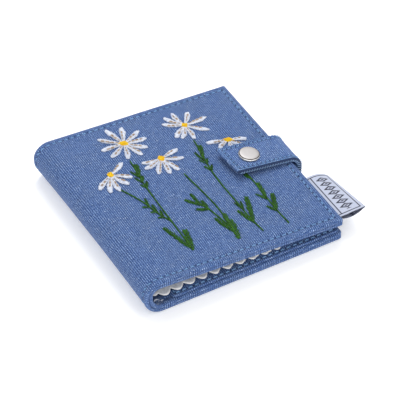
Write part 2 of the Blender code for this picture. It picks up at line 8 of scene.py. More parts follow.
import bmesh
import bpy
import numpy as np
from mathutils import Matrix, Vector


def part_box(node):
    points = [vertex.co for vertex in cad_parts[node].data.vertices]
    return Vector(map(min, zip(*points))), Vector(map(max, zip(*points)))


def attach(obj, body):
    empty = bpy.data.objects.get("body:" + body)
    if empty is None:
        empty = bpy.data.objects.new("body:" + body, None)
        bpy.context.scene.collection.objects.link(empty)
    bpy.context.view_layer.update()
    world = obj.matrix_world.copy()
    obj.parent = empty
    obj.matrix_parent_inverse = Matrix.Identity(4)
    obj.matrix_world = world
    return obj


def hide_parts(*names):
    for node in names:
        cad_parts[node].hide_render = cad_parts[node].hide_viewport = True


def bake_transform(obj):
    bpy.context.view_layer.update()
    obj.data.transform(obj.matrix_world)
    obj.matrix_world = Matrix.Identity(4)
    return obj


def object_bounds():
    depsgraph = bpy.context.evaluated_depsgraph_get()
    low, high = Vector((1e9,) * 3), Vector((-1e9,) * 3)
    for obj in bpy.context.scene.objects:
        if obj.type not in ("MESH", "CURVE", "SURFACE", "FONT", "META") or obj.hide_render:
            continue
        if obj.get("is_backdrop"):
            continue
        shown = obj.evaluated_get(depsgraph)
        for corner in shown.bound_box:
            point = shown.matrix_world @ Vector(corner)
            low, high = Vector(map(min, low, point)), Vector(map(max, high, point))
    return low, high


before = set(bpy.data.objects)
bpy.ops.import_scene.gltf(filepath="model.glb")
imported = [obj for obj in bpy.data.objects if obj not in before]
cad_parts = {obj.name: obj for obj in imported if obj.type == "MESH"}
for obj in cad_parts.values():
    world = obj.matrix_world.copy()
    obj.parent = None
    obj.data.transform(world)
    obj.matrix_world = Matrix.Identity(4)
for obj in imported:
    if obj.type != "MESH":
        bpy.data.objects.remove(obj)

CAD_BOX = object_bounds()
MM = 0.001
RANDOM = random.Random(7)


def low(node):
    """A CAD node's lowest corner, in millimetres."""
    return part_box(node)[0] / MM


def high(node):
    """A CAD node's highest corner, in millimetres."""
    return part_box(node)[1] / MM


# Sizes taken from the frame
HALF_DEPTH = high("back_cover_outer").y
BACK_EDGE_X = high("back_cover_outer").x
BACK_FOLD_X = low("back_cover_outer").x
SPINE_X = low("spine_outer").x
SPINE_HEIGHT = high("upper_fold_outer").z
LOWER_RADIUS = BACK_FOLD_X - SPINE_X
SPINE_TOP_Z = 0.5 * (high("spine_outer").z + low("upper_fold_outer").z)
UPPER_RADIUS = SPINE_HEIGHT - SPINE_TOP_Z
COVER_THICKNESS = high("spine_lining").x - SPINE_X
SEAM_DEPTH = high("back_cover_outer").z
POCKET_TOP_Z = high("back_cover_pocket").z
TAB_Y = 0.5 * (low("tab_flap_outer").y + high("tab_flap_outer").y)
TAB_HALF_WIDTH = high("tab_flap_outer").y - TAB_Y
FORE_HEIGHT = low("front_cover_outer").z + SEAM_DEPTH

# Finish of the fabric parts
EDGE_ROLL = 1.0            # radius of a cover's rounded edge
BACK_CORNER = 2.6          # plan radius of a cover's fore-edge corners
FRONT_CORNER = 1.1
WARP_PITCH = 0.62          # the weave's yarns
WEFT_PITCH = 0.53
CORD_PITCH = 1.09          # from one thicker, paler yarn to the next
SPINE_HOLLOW = 1.2         # how far the spine's lower half is pressed in, halfway along
TOPSTITCH_INSET = 3.3
TOPSTITCH_PITCH = 3.5
TAB_STITCH_INSET = 2.3
TAB_STITCH_PITCH = 2.6
EDGE_STITCH_INSET = 0.75   # a finer second row along the tab's edge
EDGE_STITCH_PITCH = 1.5
WHIP_PITCH = 1.6           # the slanted stitches over the tab's edge
COVER_CHANNEL = 0.34       # how deep the stitches sink in a cover, in the pocket and in the tab
POCKET_CHANNEL = 0.24
TAB_CHANNEL = 0.16
THREAD_RADIUS = 0.32
TAB_THREAD_RADIUS = 0.24
EDGE_THREAD_RADIUS = 0.16
STITCH_FILL = 0.66         # how much of a stitch's pitch its thread takes up
LINING_ROLL = 0.75         # radius of a lining's rounded edge
POCKET_ROLL = 0.6
POCKET_CORNER = 2.0
POCKET_INSET = 2.0
DARK_YARN = (0.020, 0.022, 0.050)


# ---------------------------------------------------------------- section

class Route:
    """Straight runs and arcs in the X-Z plane, measured along one face.

    Each step is a length and a turn. Depth is measured to the inner side, which is on the left of
    the way for inner = 1 and on the right for inner = -1.
    """

    def __init__(self, start, heading, steps, inner):
        self.inner = inner
        self.legs = []
        here = np.array(start, float)
        gone = 0.0
        for length, turn in steps:
            self.legs.append((gone, length, turn, here, heading))
            gone += length
            here = self._along(np.array([length]), length, turn, here, heading)[0]
            heading += turn
        self.length = gone
        self.marks = [leg[0] for leg in self.legs] + [gone]

    @staticmethod
    def _left(angle):
        return np.stack([-np.sin(angle), np.cos(angle)], -1)

    def _along(self, gone, length, turn, here, heading):
        if turn == 0.0:
            return here + gone[:, None] * np.array([math.cos(heading), math.sin(heading)])
        radius = length / turn
        angle = heading + turn * gone / length
        return here + radius * (self._left(heading) - self._left(angle))

    def at(self, s, depth=0.0):
        """X, Z at distances along the route and depths to its inner side, as arrays of one shape."""
        s, depth = np.broadcast_arrays(np.asarray(s, float), depth)
        shape = s.shape
        s, depth = s.ravel(), depth.ravel()
        spots = np.zeros((len(s), 2))
        for i, (first, length, turn, here, heading) in enumerate(self.legs):
            inside = np.ones(len(s), bool)
            if i > 0:
                inside &= s >= first
            if i < len(self.legs) - 1:
                inside &= s < first + length
            gone = s[inside] - first
            angle = heading + turn * gone / length
            spots[inside] = (self._along(gone, length, turn, here, heading)
                             + (depth[inside] * self.inner)[:, None] * self._left(angle))
        return spots.reshape(*shape, 2)

    def spot(self, s, y, depth=0.0):
        x, z = self.at(s, depth)
        return Vector((float(x), y, float(z)))


def case_route():
    """The outer face of the whole case: back cover, lower fold, spine, upper fold, front cover."""
    centre = np.array([SPINE_X + UPPER_RADIUS, SPINE_TOP_Z])
    reach = np.array([BACK_EDGE_X, FORE_HEIGHT]) - centre
    distance = float(np.hypot(*reach))
    slope = math.asin(UPPER_RADIUS / distance) - math.atan2(reach[1], reach[0])
    front = math.sqrt(distance ** 2 - UPPER_RADIUS ** 2)
    steps = [
        (BACK_EDGE_X - BACK_FOLD_X, 0.0),
        (LOWER_RADIUS * math.pi / 2, -math.pi / 2),
        (SPINE_TOP_Z - LOWER_RADIUS, 0.0),
        (UPPER_RADIUS * (math.pi / 2 + slope), -math.pi / 2 - slope),
        (front, 0.0),
    ]
    return Route((BACK_EDGE_X, 0.0), math.pi, steps, -1), slope


CASE, COVER_SLOPE = case_route()
BACK_END, SPINE_START, SPINE_END, FRONT_START, FRONT_END = CASE.marks[1:]
SPINE_MIDDLE = 0.5 * (SPINE_START + SPINE_END)


TAB_THICKNESS = high("tab_riser_outer").x - low("tab_riser_lining").x
TAB_BULGE = 1.5            # how far the riser bows out past its CAD solid
TAB_SKEW = 1.2             # how much shorter the flap is at its tail side than at its head side
TAB_LEAN = 1.1             # how much nearer the tail the riser is than the flap's end
TAB_CORNER = 0.5
TAB_ROOT_RADIUS = 3.0
TAB_BEND_RADIUS = 7.2
TAB_FLAP_SLOPE = math.radians(7.0)


def tab_route():
    """The strap's middle line: seam, root fold, riser, bend, flap."""
    seam = np.array([low("tab_root_outer").x, low("tab_root_outer").z + TAB_THICKNESS / 2])
    riser_x = 0.5 * (low("tab_riser_lining").x + high("tab_riser_outer").x) + TAB_BULGE
    end = np.array([low("tab_flap_outer").x, high("tab_flap_outer").z])
    end += TAB_THICKNESS / 2 * np.array([math.sin(TAB_FLAP_SLOPE), -math.cos(TAB_FLAP_SLOPE)])
    bend_x = riser_x - TAB_BEND_RADIUS
    over_bend = end[1] - (bend_x - end[0]) * math.tan(TAB_FLAP_SLOPE)
    bend_z = over_bend - TAB_BEND_RADIUS / math.cos(TAB_FLAP_SLOPE)
    turn = math.pi / 2 - TAB_FLAP_SLOPE
    leave_x = bend_x + TAB_BEND_RADIUS * math.sin(TAB_FLAP_SLOPE)
    steps = [
        (riser_x - TAB_ROOT_RADIUS - seam[0], 0.0),
        (TAB_ROOT_RADIUS * math.pi / 2, math.pi / 2),
        (bend_z - seam[1] - TAB_ROOT_RADIUS, 0.0),
        (TAB_BEND_RADIUS * turn, turn),
        ((leave_x - end[0]) / math.cos(TAB_FLAP_SLOPE), 0.0),
    ]
    return Route(seam, 0.0, steps, 1)


TAB = tab_route()


# ---------------------------------------------------------------- meshes

def finish_piece(name, points, faces, look, uv=None, sharp=50.0):
    """A smooth-shaded object from millimetre points, with a weave map in millimetres."""
    data = bpy.data.meshes.new(name)
    data.from_pydata([tuple(p) for p in np.asarray(points) * MM], [], faces)
    if uv is not None:
        layer = data.uv_layers.new(name="weave")
        corners = np.zeros(len(data.loops), int)
        data.loops.foreach_get("vertex_index", corners)
        layer.data.foreach_set("uv", np.asarray(uv, float)[corners].ravel())
    mesh = bmesh.new()
    mesh.from_mesh(data)
    bmesh.ops.recalc_face_normals(mesh, faces=mesh.faces)
    mesh.to_mesh(data)
    mesh.free()
    data.shade_smooth()
    data.set_sharp_from_angle(angle=math.radians(sharp))
    data.materials.append(look)
    return link(name, data)


def grid_lines(length, step, far_edge, roll=EDGE_ROLL):
    """Distances across a panel and the drop of its rounded edge there. Lines crowd at the edge."""
    angles = np.radians([0, 18, 36, 54, 72, 90])
    edge = [(roll * (1 - math.cos(a)), roll * (1 - math.sin(a))) for a in angles]
    end = length - roll if far_edge else length
    count = max(2, round((end - roll) / step))
    middle = [(roll + (end - roll) * i / count, 0.0) for i in range(1, count)]
    last = [(length - e, drop) for e, drop in reversed(edge)] if far_edge else [(length, 0.0)]
    return np.array(edge + middle + last)


def rounded(e, y, length, half, corner, inset, far_edge):
    """Carry a square plan into one with round corners at its free edge, and at its far edge if asked."""
    e = np.clip(e, inset, length - inset if far_edge else length)
    y = np.clip(y, inset - half, half - inset)
    radius = max(corner - inset, 0.05)
    q = np.clip((np.abs(y) - (half - corner)) / radius, 0.0, 1.0)
    ends = [(e, 1.0)]
    if far_edge:
        ends.append((length - e, -1.0))
    new_e, new_y = e, np.abs(y)
    for away, way in ends:
        p = np.clip((corner - away) / radius, 0.0, 1.0)
        both = (p > 0) & (q > 0)
        round_e = corner - radius * p * np.sqrt(1 - q * q / 2)
        round_y = half - corner + radius * q * np.sqrt(1 - p * p / 2)
        new_e = np.where(both, round_e if way > 0 else length - round_e, new_e)
        new_y = np.where(both, round_y, new_y)
    return new_e, np.sign(y) * new_y


def grid_faces(n, m, first=0):
    """Faces of a grid of n by m points."""
    return [(a + j, a + j + 1, a + m + j + 1, a + m + j)
            for a in range(first, first + (n - 1) * m, m) for j in range(m - 1)]


def tube_faces(rings, count, first=0):
    """Faces between rings of count points, each ring closed on itself."""
    return [(a + i, a + (i + 1) % count, a + count + (i + 1) % count, a + count + i)
            for a in range(first, first + (rings - 1) * count, count) for i in range(count)]


def panel(name, place, size, face, sense, rims, look, step, relief, corner, roll=EDGE_ROLL, far_edge=False):
    """A padded panel with a rounded edge on its free sides.

    place(e, y, depth) gives points, with e measured from the free edge. The visible face is at depth
    face, its edge drops by sense, and the rims are the insets and depths that follow down its side.
    """
    length, half = size
    along = grid_lines(length, step, far_edge, roll)
    across = grid_lines(2 * half, step, True, roll)
    e, y = np.meshgrid(along[:, 0], across[:, 0] - half, indexing="ij")
    drop = np.maximum(along[:, 1][:, None], across[:, 1][None, :])
    depth = face + sense * drop + sense * relief(e, y) * (1 - drop / roll)
    n, m = e.shape
    points = [place(*rounded(e, y, length, half, corner, 0.0, far_edge), depth).reshape(-1, 3)]
    uv = [np.stack([e.ravel(), y.ravel()], 1)]
    faces = grid_faces(n, m)
    rim = [(i, 0) for i in range(n - 1, -1, -1)] + [(0, j) for j in range(1, m)]
    rim += [(i, m - 1) for i in range(1, n)]
    if far_edge:
        rim += [(n - 1, j) for j in range(m - 2, 0, -1)]
    rim_i, rim_j = np.array(rim).T
    count = len(rim)
    re, ry = e[rim_i, rim_j], y[rim_i, rim_j]
    loops = [[i * m + j for i, j in rim]]
    total = n * m
    gone, last_depth, last_inset = 0.0, face + sense * roll, 0.0
    for inset, rim_depth in rims:
        gone += abs(rim_depth - last_depth) + abs(inset - last_inset)
        last_depth, last_inset = rim_depth, inset
        outline = rounded(re, ry, length, half, corner, inset, far_edge)
        points.append(place(*outline, np.full(count, rim_depth)))
        shift_e = np.where(rim_i == 0, -gone, np.where((rim_i == n - 1) & far_edge, gone, 0.0))
        shift_y = np.where(rim_j == 0, -gone, np.where(rim_j == m - 1, gone, 0.0))
        uv.append(np.stack([re + shift_e, ry + shift_y], 1))
        loops.append(list(range(total, total + count)))
        total += count
    spans = count if far_edge else count - 1
    for upper, lower in zip(loops, loops[1:]):
        faces += [(upper[k], upper[(k + 1) % count], lower[(k + 1) % count], lower[k]) for k in range(spans)]
    base = loops[-1]
    left = base[:n][::-1]
    right = base[n + m - 2:2 * n + m - 2]
    faces.append(tuple(base[n - 1:n + m - 1]) + (right[1], left[1]))
    inner_end = n - 2 if far_edge else n - 1
    faces += [(left[i], right[i], right[i + 1], left[i + 1]) for i in range(1, inner_end)]
    if far_edge:
        faces.append((left[n - 2], right[n - 2]) + tuple(base[2 * n + m - 3:] + [base[0]]))
    else:
        top_row = [(n - 1) * m + j for j in range(m)]
        down = [loop[-1] for loop in loops[1:]]
        up = [loop[0] for loop in reversed(loops[1:])]
        faces.append(tuple(top_row + down + up))
    return finish_piece(name, np.concatenate(points), faces, look, np.concatenate(uv))


def sweep(name, rings, look, uv=None):
    """A skin over rings of points, closed at both ends."""
    count = len(rings[0])
    points = np.concatenate(rings)
    faces = tube_faces(len(rings), count)
    faces.append(tuple(reversed(range(count))))
    faces.append(tuple(range(len(points) - count, len(points))))
    return finish_piece(name, points, faces, look, uv)


class Threads:
    """Many short threads in one mesh. Each is a tube with thinner ends."""

    SIDES = 5
    END = 0.55                 # an end's radius, as a share of the thread's

    def __init__(self):
        self.points = []
        self.faces = []
        self.uv = []

    def add(self, line, radius, up=Vector((0, 0, 1))):
        first = len(self.points)
        last = len(line) - 1
        gone = 0.0
        for k, spot in enumerate(line):
            ahead = (line[min(k + 1, last)] - line[max(k - 1, 0)]).normalized()
            side = ahead.cross(up).normalized()
            rise = side.cross(ahead)
            if k > 0:
                gone += (spot - line[k - 1]).length
            thick = radius * (self.END if k in (0, last) else 1.0)
            for i in range(self.SIDES):
                angle = 2 * math.pi * i / self.SIDES
                self.points.append(spot + thick * (math.cos(angle) * side + math.sin(angle) * rise))
                self.uv.append((gone, 2.0 * radius * i / self.SIDES))
        self.faces += tube_faces(len(line), self.SIDES, first)
        self.faces.append(tuple(range(first, first + self.SIDES)))
        self.faces.append(tuple(range(len(self.points) - self.SIDES, len(self.points))))

    def build(self, name, look):
        return finish_piece(name, [tuple(p) for p in self.points], self.faces, look, self.uv, 60.0)


def fasten(piece, body, slot, *nodes):
    """Ride a piece on a body, in place of CAD nodes. The slot is not used."""
    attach(piece, body)
    if nodes:
        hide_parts(*nodes)


# ---------------------------------------------------------------- materials

class Value:
    """An output in a node tree, so that a material's arithmetic is written with the usual signs."""

    def __init__(self, look, socket):
        self.look = look
        self.socket = socket

    def __rsub__(self, other):
        return self.look.math("SUBTRACT", other, self)

    def __abs__(self):
        return self.look.math("ABSOLUTE", self)

    def clamped(self):
        self.socket.node.use_clamp = True
        return self


def operator(operation):
    """A Value's method for one of the signs."""
    return lambda value, other: value.look.math(operation, value, other)


for sign, operation in (("add", "ADD"), ("sub", "SUBTRACT"), ("mul", "MULTIPLY"), ("truediv", "DIVIDE"),
                        ("lt", "LESS_THAN"), ("gt", "GREATER_THAN")):
    setattr(Value, "__%s__" % sign, operator(operation))


class Nodes:
    """A short way to write a material's node tree."""

    def __init__(self, name, roughness, metallic=0.0):
        self.look = bpy.data.materials.new(name)
        self.look.use_nodes = True
        self.tree = self.look.node_tree
        self.inputs = self.tree.nodes["Principled BSDF"].inputs
        self.inputs["Roughness"].default_value = roughness
        self.inputs["Metallic"].default_value = metallic

    def feed(self, socket, value):
        """Link a Value to a socket, or set a constant on it."""
        if isinstance(value, Value):
            self.tree.links.new(value.socket, socket)
        else:
            socket.default_value = value

    def add(self, kind, output, sockets=(), **settings):
        """A new node's output."""
        made = self.tree.nodes.new(kind)
        for key, value in settings.items():
            setattr(made, key, value)
        for key, value in dict(sockets).items():
            self.feed(made.inputs[key], value)
        return Value(self, made.outputs[output])

    def math(self, operation, a, b=0.0):
        return self.add("ShaderNodeMath", 0, {0: a, 1: b}, operation=operation)

    def parts(self, vector):
        """A vector's first two components."""
        outputs = self.add("ShaderNodeSeparateXYZ", 0, {0: vector}).socket.node.outputs
        return Value(self, outputs[0]), Value(self, outputs[1])

    def vectors(self, operation, sockets):
        return self.add("ShaderNodeVectorMath", 0, sockets, operation=operation)

    def stretched(self, vector, scale):
        return self.add("ShaderNodeMapping", 0, {"Vector": vector, "Scale": scale})

    def noise(self, vector, scale, detail=2.0, roughness=0.5):
        sockets = {"Vector": vector, "Scale": scale, "Detail": detail, "Roughness": roughness}
        return self.add("ShaderNodeTexNoise", "Fac", sockets)

    def waves(self, vector, scale, distortion, direction="X"):
        sockets = {"Vector": vector, "Scale": scale, "Distortion": distortion, "Detail": 1.0,
                   "Detail Scale": 2.0}
        return self.add("ShaderNodeTexWave", "Fac", sockets, bands_direction=direction)

    def ramp(self, factor, stops):
        made = self.add("ShaderNodeValToRGB", "Color", {"Fac": factor})
        elements = made.socket.node.color_ramp.elements
        while len(elements) < len(stops):
            elements.new(0.5)
        for element, (place, colour) in zip(elements, stops):
            element.position = place
            element.color = (*colour, 1.0)
        return made

    def mix(self, factor, a, b, blend="MIX"):
        a, b = [c if isinstance(c, Value) else (*c, 1.0) for c in (a, b)]
        return self.add("ShaderNodeMix", 2, {0: factor, 6: a, 7: b}, data_type="RGBA", blend_type=blend)

    def weave_map(self):
        return self.add("ShaderNodeUVMap", "UV", uv_map="weave")

    def place(self):
        """Object coordinates in millimetres."""
        return self.stretched(self.add("ShaderNodeTexCoord", "Object"), (1 / MM, 1 / MM, 1 / MM))

    def colour(self, value):
        self.feed(self.inputs["Base Color"], value)

    def bump(self, height, strength, distance):
        self.feed(self.inputs["Normal"], self.add(
            "ShaderNodeBump", 0, {"Height": height, "Strength": strength, "Distance": distance * MM}))

    def sheen(self, weight, tint):
        self.inputs["Sheen Weight"].default_value = weight
        self.inputs["Sheen Roughness"].default_value = 0.5
        self.inputs["Sheen Tint"].default_value = (*tint, 1.0)


def chambray(name, seam, paleness=1.0):
    """Plain weave of deep blue warp and paler weft. Yarns vary in thickness and dye.

    The seam's painted shade darkens the cloth in its channel and at its needle holes. Its last argument
    scales the colour, to make a paler copy of the cloth.
    """
    look = Nodes(name, 0.88)
    cloth = look.weave_map()
    drift = look.add("ShaderNodeTexNoise", "Color", {"Vector": cloth, "Scale": 0.35, "Detail": 2.0})
    drift = look.vectors("SUBTRACT", {0: drift, 1: (0.5, 0.5, 0.5)})
    wavy = look.vectors("ADD", {0: cloth, 1: look.vectors("SCALE", {0: drift, 3: 0.9})})
    across_warp, across_weft = look.parts(wavy)
    warp_crest = look.math("SINE", across_warp * (math.pi / WARP_PITCH))
    weft_crest = look.math("SINE", across_weft * (math.pi / WEFT_PITCH))
    over = warp_crest * weft_crest
    warp = look.noise(look.stretched(wavy, (2.6, 0.30, 1.0)), 1.0, 3.0, 0.65)
    weft = look.noise(look.stretched(wavy, (0.28, 2.4, 1.0)), 1.0, 3.0, 0.65)
    blue = look.ramp(warp, [(0.34, (0.006, 0.028, 0.125)), (0.50, (0.030, 0.076, 0.235)),
                            (0.68, (0.080, 0.155, 0.370))])
    pale = look.ramp(weft, [(0.34, (0.040, 0.095, 0.255)), (0.50, (0.120, 0.195, 0.400)),
                            (0.68, (0.330, 0.440, 0.680))])
    woven = look.mix((over * 1.4 + 0.5).clamped(), pale, blue)
    cord = look.math("SINE", across_warp * (2 * math.pi / CORD_PITCH)) * 0.5 + 0.5
    line = look.ramp(cord, [(0.05, (0.23, 0.36, 0.53)), (0.50, (0.64, 0.76, 0.85)),
                            (0.95, (1.52, 1.50, 1.34))])
    clear = ((look.noise(cloth, 0.20) - 0.36) * 4.5).clamped()
    line = look.mix(clear * 0.25 + 0.75, (0.68, 0.79, 0.87), line)
    speck = look.noise(cloth, 1.45, 3.0, 0.75)
    fleck = look.ramp(speck, [(0.38, (0.48, 0.58, 0.71)), (0.50, (0.93, 0.94, 0.96)),
                              (0.63, (1.74, 1.58, 1.38))])
    clouds = [(0.34, (0.92, 0.96, 1.00)), (0.50, (1.00, 1.00, 1.00)), (0.66, (1.10, 1.03, 0.97))]
    tone = look.ramp(look.noise(cloth, 0.06, 3.0, 0.6),
                     [(place, tuple(paleness * c for c in tint)) for place, tint in clouds])
    for layer in (line, fleck, tone):
        woven = look.mix(1.0, woven, layer, "MULTIPLY")
    # Painted shade, a near black blue, in the seam's channel and needle holes, and under an overcast edge.
    look.colour(look.mix(seam.shadow(look, cloth), woven, (0.004, 0.016, 0.064)))
    look.bump(abs(over) + speck * 0.8, 0.6, 0.12)
    look.sheen(0.06, (0.75, 0.82, 1.0))
    return look.look


def felt():
    """Matted off-white fibres."""
    look = Nodes("felt", 0.95)
    place = look.place()
    fibres = look.noise(place, 1.6, 6.0, 0.75)
    clumps = look.noise(place, 0.35, 3.0, 0.6)
    both = fibres * 0.6 + clumps * 0.4
    look.colour(look.ramp(both, [(0.34, (0.52, 0.52, 0.52)), (0.66, (0.82, 0.82, 0.82))]))
    look.bump(both, 0.8, 0.35)
    look.sheen(0.15, (1.0, 1.0, 1.0))
    return look.look


def thread(name, dark, pale, haze=0.3, gloss=0.5):
    """Twisted thread: a slanted ply line round it, and uneven dye."""
    look = Nodes(name, 0.5)
    look.inputs["Specular IOR Level"].default_value = gloss
    slant = look.add("ShaderNodeMapping", 0, {"Vector": look.weave_map(),
                                              "Rotation": (0.0, 0.0, math.radians(40.0))})
    ply = look.waves(slant, 0.55, 0.6)
    dye = look.noise(look.place(), 0.7, 2.0, 0.6)
    look.colour(look.ramp(ply * 0.35 + dye * 0.65, [(0.33, dark), (0.66, pale)]))
    look.bump(ply, 0.5, 0.06)
    look.sheen(haze, pale)
    return look.look


def nickel(name, colour, roughness):
    """Satin plate with faint turning marks and handling haze."""
    look = Nodes(name, roughness, 1.0)
    place = look.place()
    haze = look.noise(place, 0.9, 4.0, 0.65)
    fine = look.noise(place, 9.0)
    look.colour(look.ramp(haze, [(0.3, tuple(0.9 * c for c in colour)), (0.7, colour)]))
    look.feed(look.inputs["Roughness"], haze * 0.16 + (roughness - 0.08))
    look.bump(fine, 0.15, 0.02)
    return look.look


def card():
    """Grey pulp board."""
    look = Nodes("grey_board", 0.85)
    pulp = look.noise(look.place(), 1.2, 5.0, 0.7)
    look.colour(look.ramp(pulp, [(0.3, (0.32, 0.30, 0.26)), (0.7, (0.47, 0.44, 0.38))]))
    look.bump(pulp, 0.4, 0.1)
    return look.look


def label_cloth(width, fold):
    """White ribbon with a thin dark frame and a row of small woven diamonds, on both its layers."""
    look = Nodes("woven_label", 0.75)
    u, v = look.parts(look.weave_map())

    def near(value, middle, tolerance=0.28):
        made = look.math("COMPARE", value, middle)
        made.socket.node.inputs[2].default_value = tolerance
        return made

    ribs = look.waves(look.weave_map(), 1.1, 0.3, "Y")
    white = look.ramp(ribs, [(0.2, (0.40, 0.44, 0.57)), (0.8, (0.54, 0.58, 0.70))])
    from_side = look.math("MINIMUM", v, width - v)
    from_fold = abs(u - fold)
    from_seam = fold - from_fold
    side_inset, seam_inset, fold_inset = 1.4, 2.2, 2.6
    diamond_pitch, diamond_length, row_at = 3.75, 8.0, 7.3
    side_line = near(from_side, side_inset) * (from_fold > 2.3)
    end_lines = look.math("MAXIMUM", near(from_seam, seam_inset), near(from_fold, fold_inset))
    frame_line = look.math("MAXIMUM", side_line, end_lines * (from_side > 1.2))
    diamond = (abs(look.math("FRACT", v / diamond_pitch) - 0.5)
               + abs((from_seam - row_at) / diamond_length))
    marks = look.math("MAXIMUM", near(diamond, 0.37, 0.11), diamond < 0.14)
    motif = marks * (from_side > 3.0)
    look.colour(look.mix(look.math("MAXIMUM", frame_line, motif), white, DARK_YARN))
    look.bump(ribs, 0.5, 0.08)
    return look.look


def label_wrong_side_and_shade():
    """The ribbon's wrong side, where the dark yarns of the frame and motif float across, drawn darker also
    as painted shade for the inside of the loop.
    """
    look = Nodes("woven_label_wrong_side_and_shade", 0.8)
    floats = look.noise(look.stretched(look.weave_map(), (0.35, 1.8, 1.0)), 1.0, 3.0, 0.7)
    look.colour(look.ramp(floats, [(0.42, DARK_YARN), (0.62, (0.30, 0.33, 0.44))]))
    look.bump(floats, 0.5, 0.1)
    return look.look


LOOKS = {
    "felt": felt(),
    "white": thread("white_thread", (0.37, 0.42, 0.55), (0.80, 0.83, 0.90)),
    "tan": thread("tan_thread", (0.19, 0.12, 0.07), (0.48, 0.36, 0.25)),
    "yellow": thread("yellow_thread", (0.62, 0.30, 0.003), (0.84, 0.60, 0.010), 0.1, 0.25),
    "green": thread("green_thread", (0.001, 0.010, 0.001), (0.050, 0.190, 0.020), 0.0, 0.16),
    "blue": thread("blue_thread", (0.07, 0.19, 0.40), (0.24, 0.42, 0.70), 0.1, 0.25),
    "pale_blue": thread("pale_blue_thread", (0.20, 0.36, 0.60), (0.42, 0.58, 0.84), 0.1, 0.25),
    "dark": thread("dark_thread", (0.008, 0.020, 0.060), (0.045, 0.085, 0.190)),
    "nickel": nickel("nickel", (0.40, 0.385, 0.385), 0.46),
    # Near black plate: painted shade at the press stud cap's foot and in the groove round its crown.
    "painted_shade": nickel("nickel_painted_shade", (0.050, 0.040, 0.038), 0.45),
    "polished": nickel("polished_nickel", (0.80, 0.79, 0.78), 0.16),
    "spring": nickel("spring_steel", (0.50, 0.51, 0.52), 0.30),
    "card": card(),
    "wrong_side_and_shade": label_wrong_side_and_shade(),
}


# ---------------------------------------------------------------- covers

class Seam:
    """A row of topstitches at a fixed inset from a panel's edges.

    e runs in from the free edge and y across. Where far is true, the row closes round the far edge too.
    Whipped is how wide the painted shade on the cloth under an overcast edge is.
    """

    def __init__(self, length, half, inset, pitch, channel, far=False, whipped=0.0):
        self.length, self.half, self.inset, self.channel, self.far = length, half, inset, channel, far
        self.whipped = whipped
        self.end = length - inset if far else length
        self.row = half - inset
        self.pitch_e = (self.end - inset) / round((self.end - inset) / pitch)
        self.pitch_y = 2 * self.row / round(2 * self.row / pitch)

    def path(self):
        near_corners = [(self.inset, -self.row), (self.inset, self.row)]
        corners = [(self.end, -self.row)] + near_corners + [(self.end, self.row)]
        return corners + corners[:1] if self.far else corners

    def relief(self, e, y):
        """The channel that the stitches pull in, its needle holes, and the puffed rims beside it."""
        margin_e = np.minimum(e, self.length - e) if self.far else e
        margin_y = self.half - np.abs(y)
        margin = np.minimum(margin_e, margin_y)
        phase = np.where(margin_y < margin_e, (e - self.inset) / self.pitch_e, (y + self.row) / self.pitch_y)
        gap = np.abs(phase - np.round(phase)) * self.pitch_y
        away = margin - self.inset
        hole = np.exp(-(gap / 0.45) ** 2)
        dip = self.channel * np.exp(-(away / 0.65) ** 2) * (0.75 + 0.9 * hole)
        outside = np.exp(-((margin - 0.5 * self.inset) / 0.9) ** 2)
        inside = np.exp(-((away - 1.9) / 1.1) ** 2)
        gather = 1.0 - 0.55 * np.exp(-(gap / 0.8) ** 2)
        return dip - 0.45 * self.channel * gather * (outside + 0.7 * inside)

    def relief_at(self, e, y):
        return float(self.relief(np.array(e), np.array(y)))

    def shadow(self, look, cloth):
        """The same row as painted shade in a material: 1 in a needle hole, less along the channel, 0
        elsewhere.
        """
        e, y = look.parts(cloth)
        margin_y = self.half - abs(y)
        margin_e = look.math("MINIMUM", e, self.length - e) if self.far else e
        along_e = margin_y < margin_e
        phase = (along_e * ((e - self.inset) / self.pitch_e)
                 + (1.0 - along_e) * ((y + self.row) / self.pitch_y))
        gap = abs(phase - look.math("ROUND", phase))
        hole = (1.0 - gap * 3.1).clamped()
        away = abs(look.math("MINIMUM", margin_e, margin_y) - self.inset)
        line = (1.0 - away * 1.1).clamped()
        dark = line * (hole * 0.70 + 0.30)
        # Painted shade on the cloth under the slanted stitches over the strap's edge.
        if self.whipped:
            dark = look.math("MAXIMUM", dark, (margin_y < self.whipped) * 0.85)
        return dark


def cover_relief(seam, e, y):
    """A cover's face: its seam, a soft crown, and slow unevenness of the wadding."""
    margin = np.minimum(e, HALF_DEPTH - np.abs(y))
    crown = 0.30 * (1 - np.exp(-np.maximum(margin - TOPSTITCH_INSET, 0.0) / 7.0))
    slow = (0.07 * np.sin(e / 9.0 + y / 23.0) + 0.05 * np.sin(e / 17.0 - y / 11.0 + 1.3)
            + 0.03 * np.sin(e / 4.7 + y / 6.1 + 0.4))
    return seam.relief(e, y) - crown - 0.6 * slow


def rest_relief(seam, e, y):
    """The back cover's face. It lies flat, so nothing stands out of it, and it swells past the fold."""
    lying = np.clip((SPINE_START - e) / (SPINE_START - BACK_END), 0.0, 1.0)
    swollen = cover_relief(seam, e, y)
    pressed = np.maximum(swollen + 0.33, 0.0)
    return lying * pressed + (1 - lying) * swollen


BACK_SEAM = Seam(SPINE_MIDDLE, HALF_DEPTH, TOPSTITCH_INSET, TOPSTITCH_PITCH, COVER_CHANNEL)
FRONT_SEAM = Seam(FRONT_END - SPINE_MIDDLE, HALF_DEPTH, TOPSTITCH_INSET, TOPSTITCH_PITCH, COVER_CHANNEL)


def hollow(s, y):
    """How far the case is pressed in at its lower fold, where it is held. It fades out at the ends."""
    around = np.exp(-((s - SPINE_START + 5.0) / 7.5) ** 2)
    along = 0.2 + 0.8 * np.maximum(1.0 - (y / HALF_DEPTH) ** 2, 0.0) ** 0.8
    return SPINE_HOLLOW * around * along


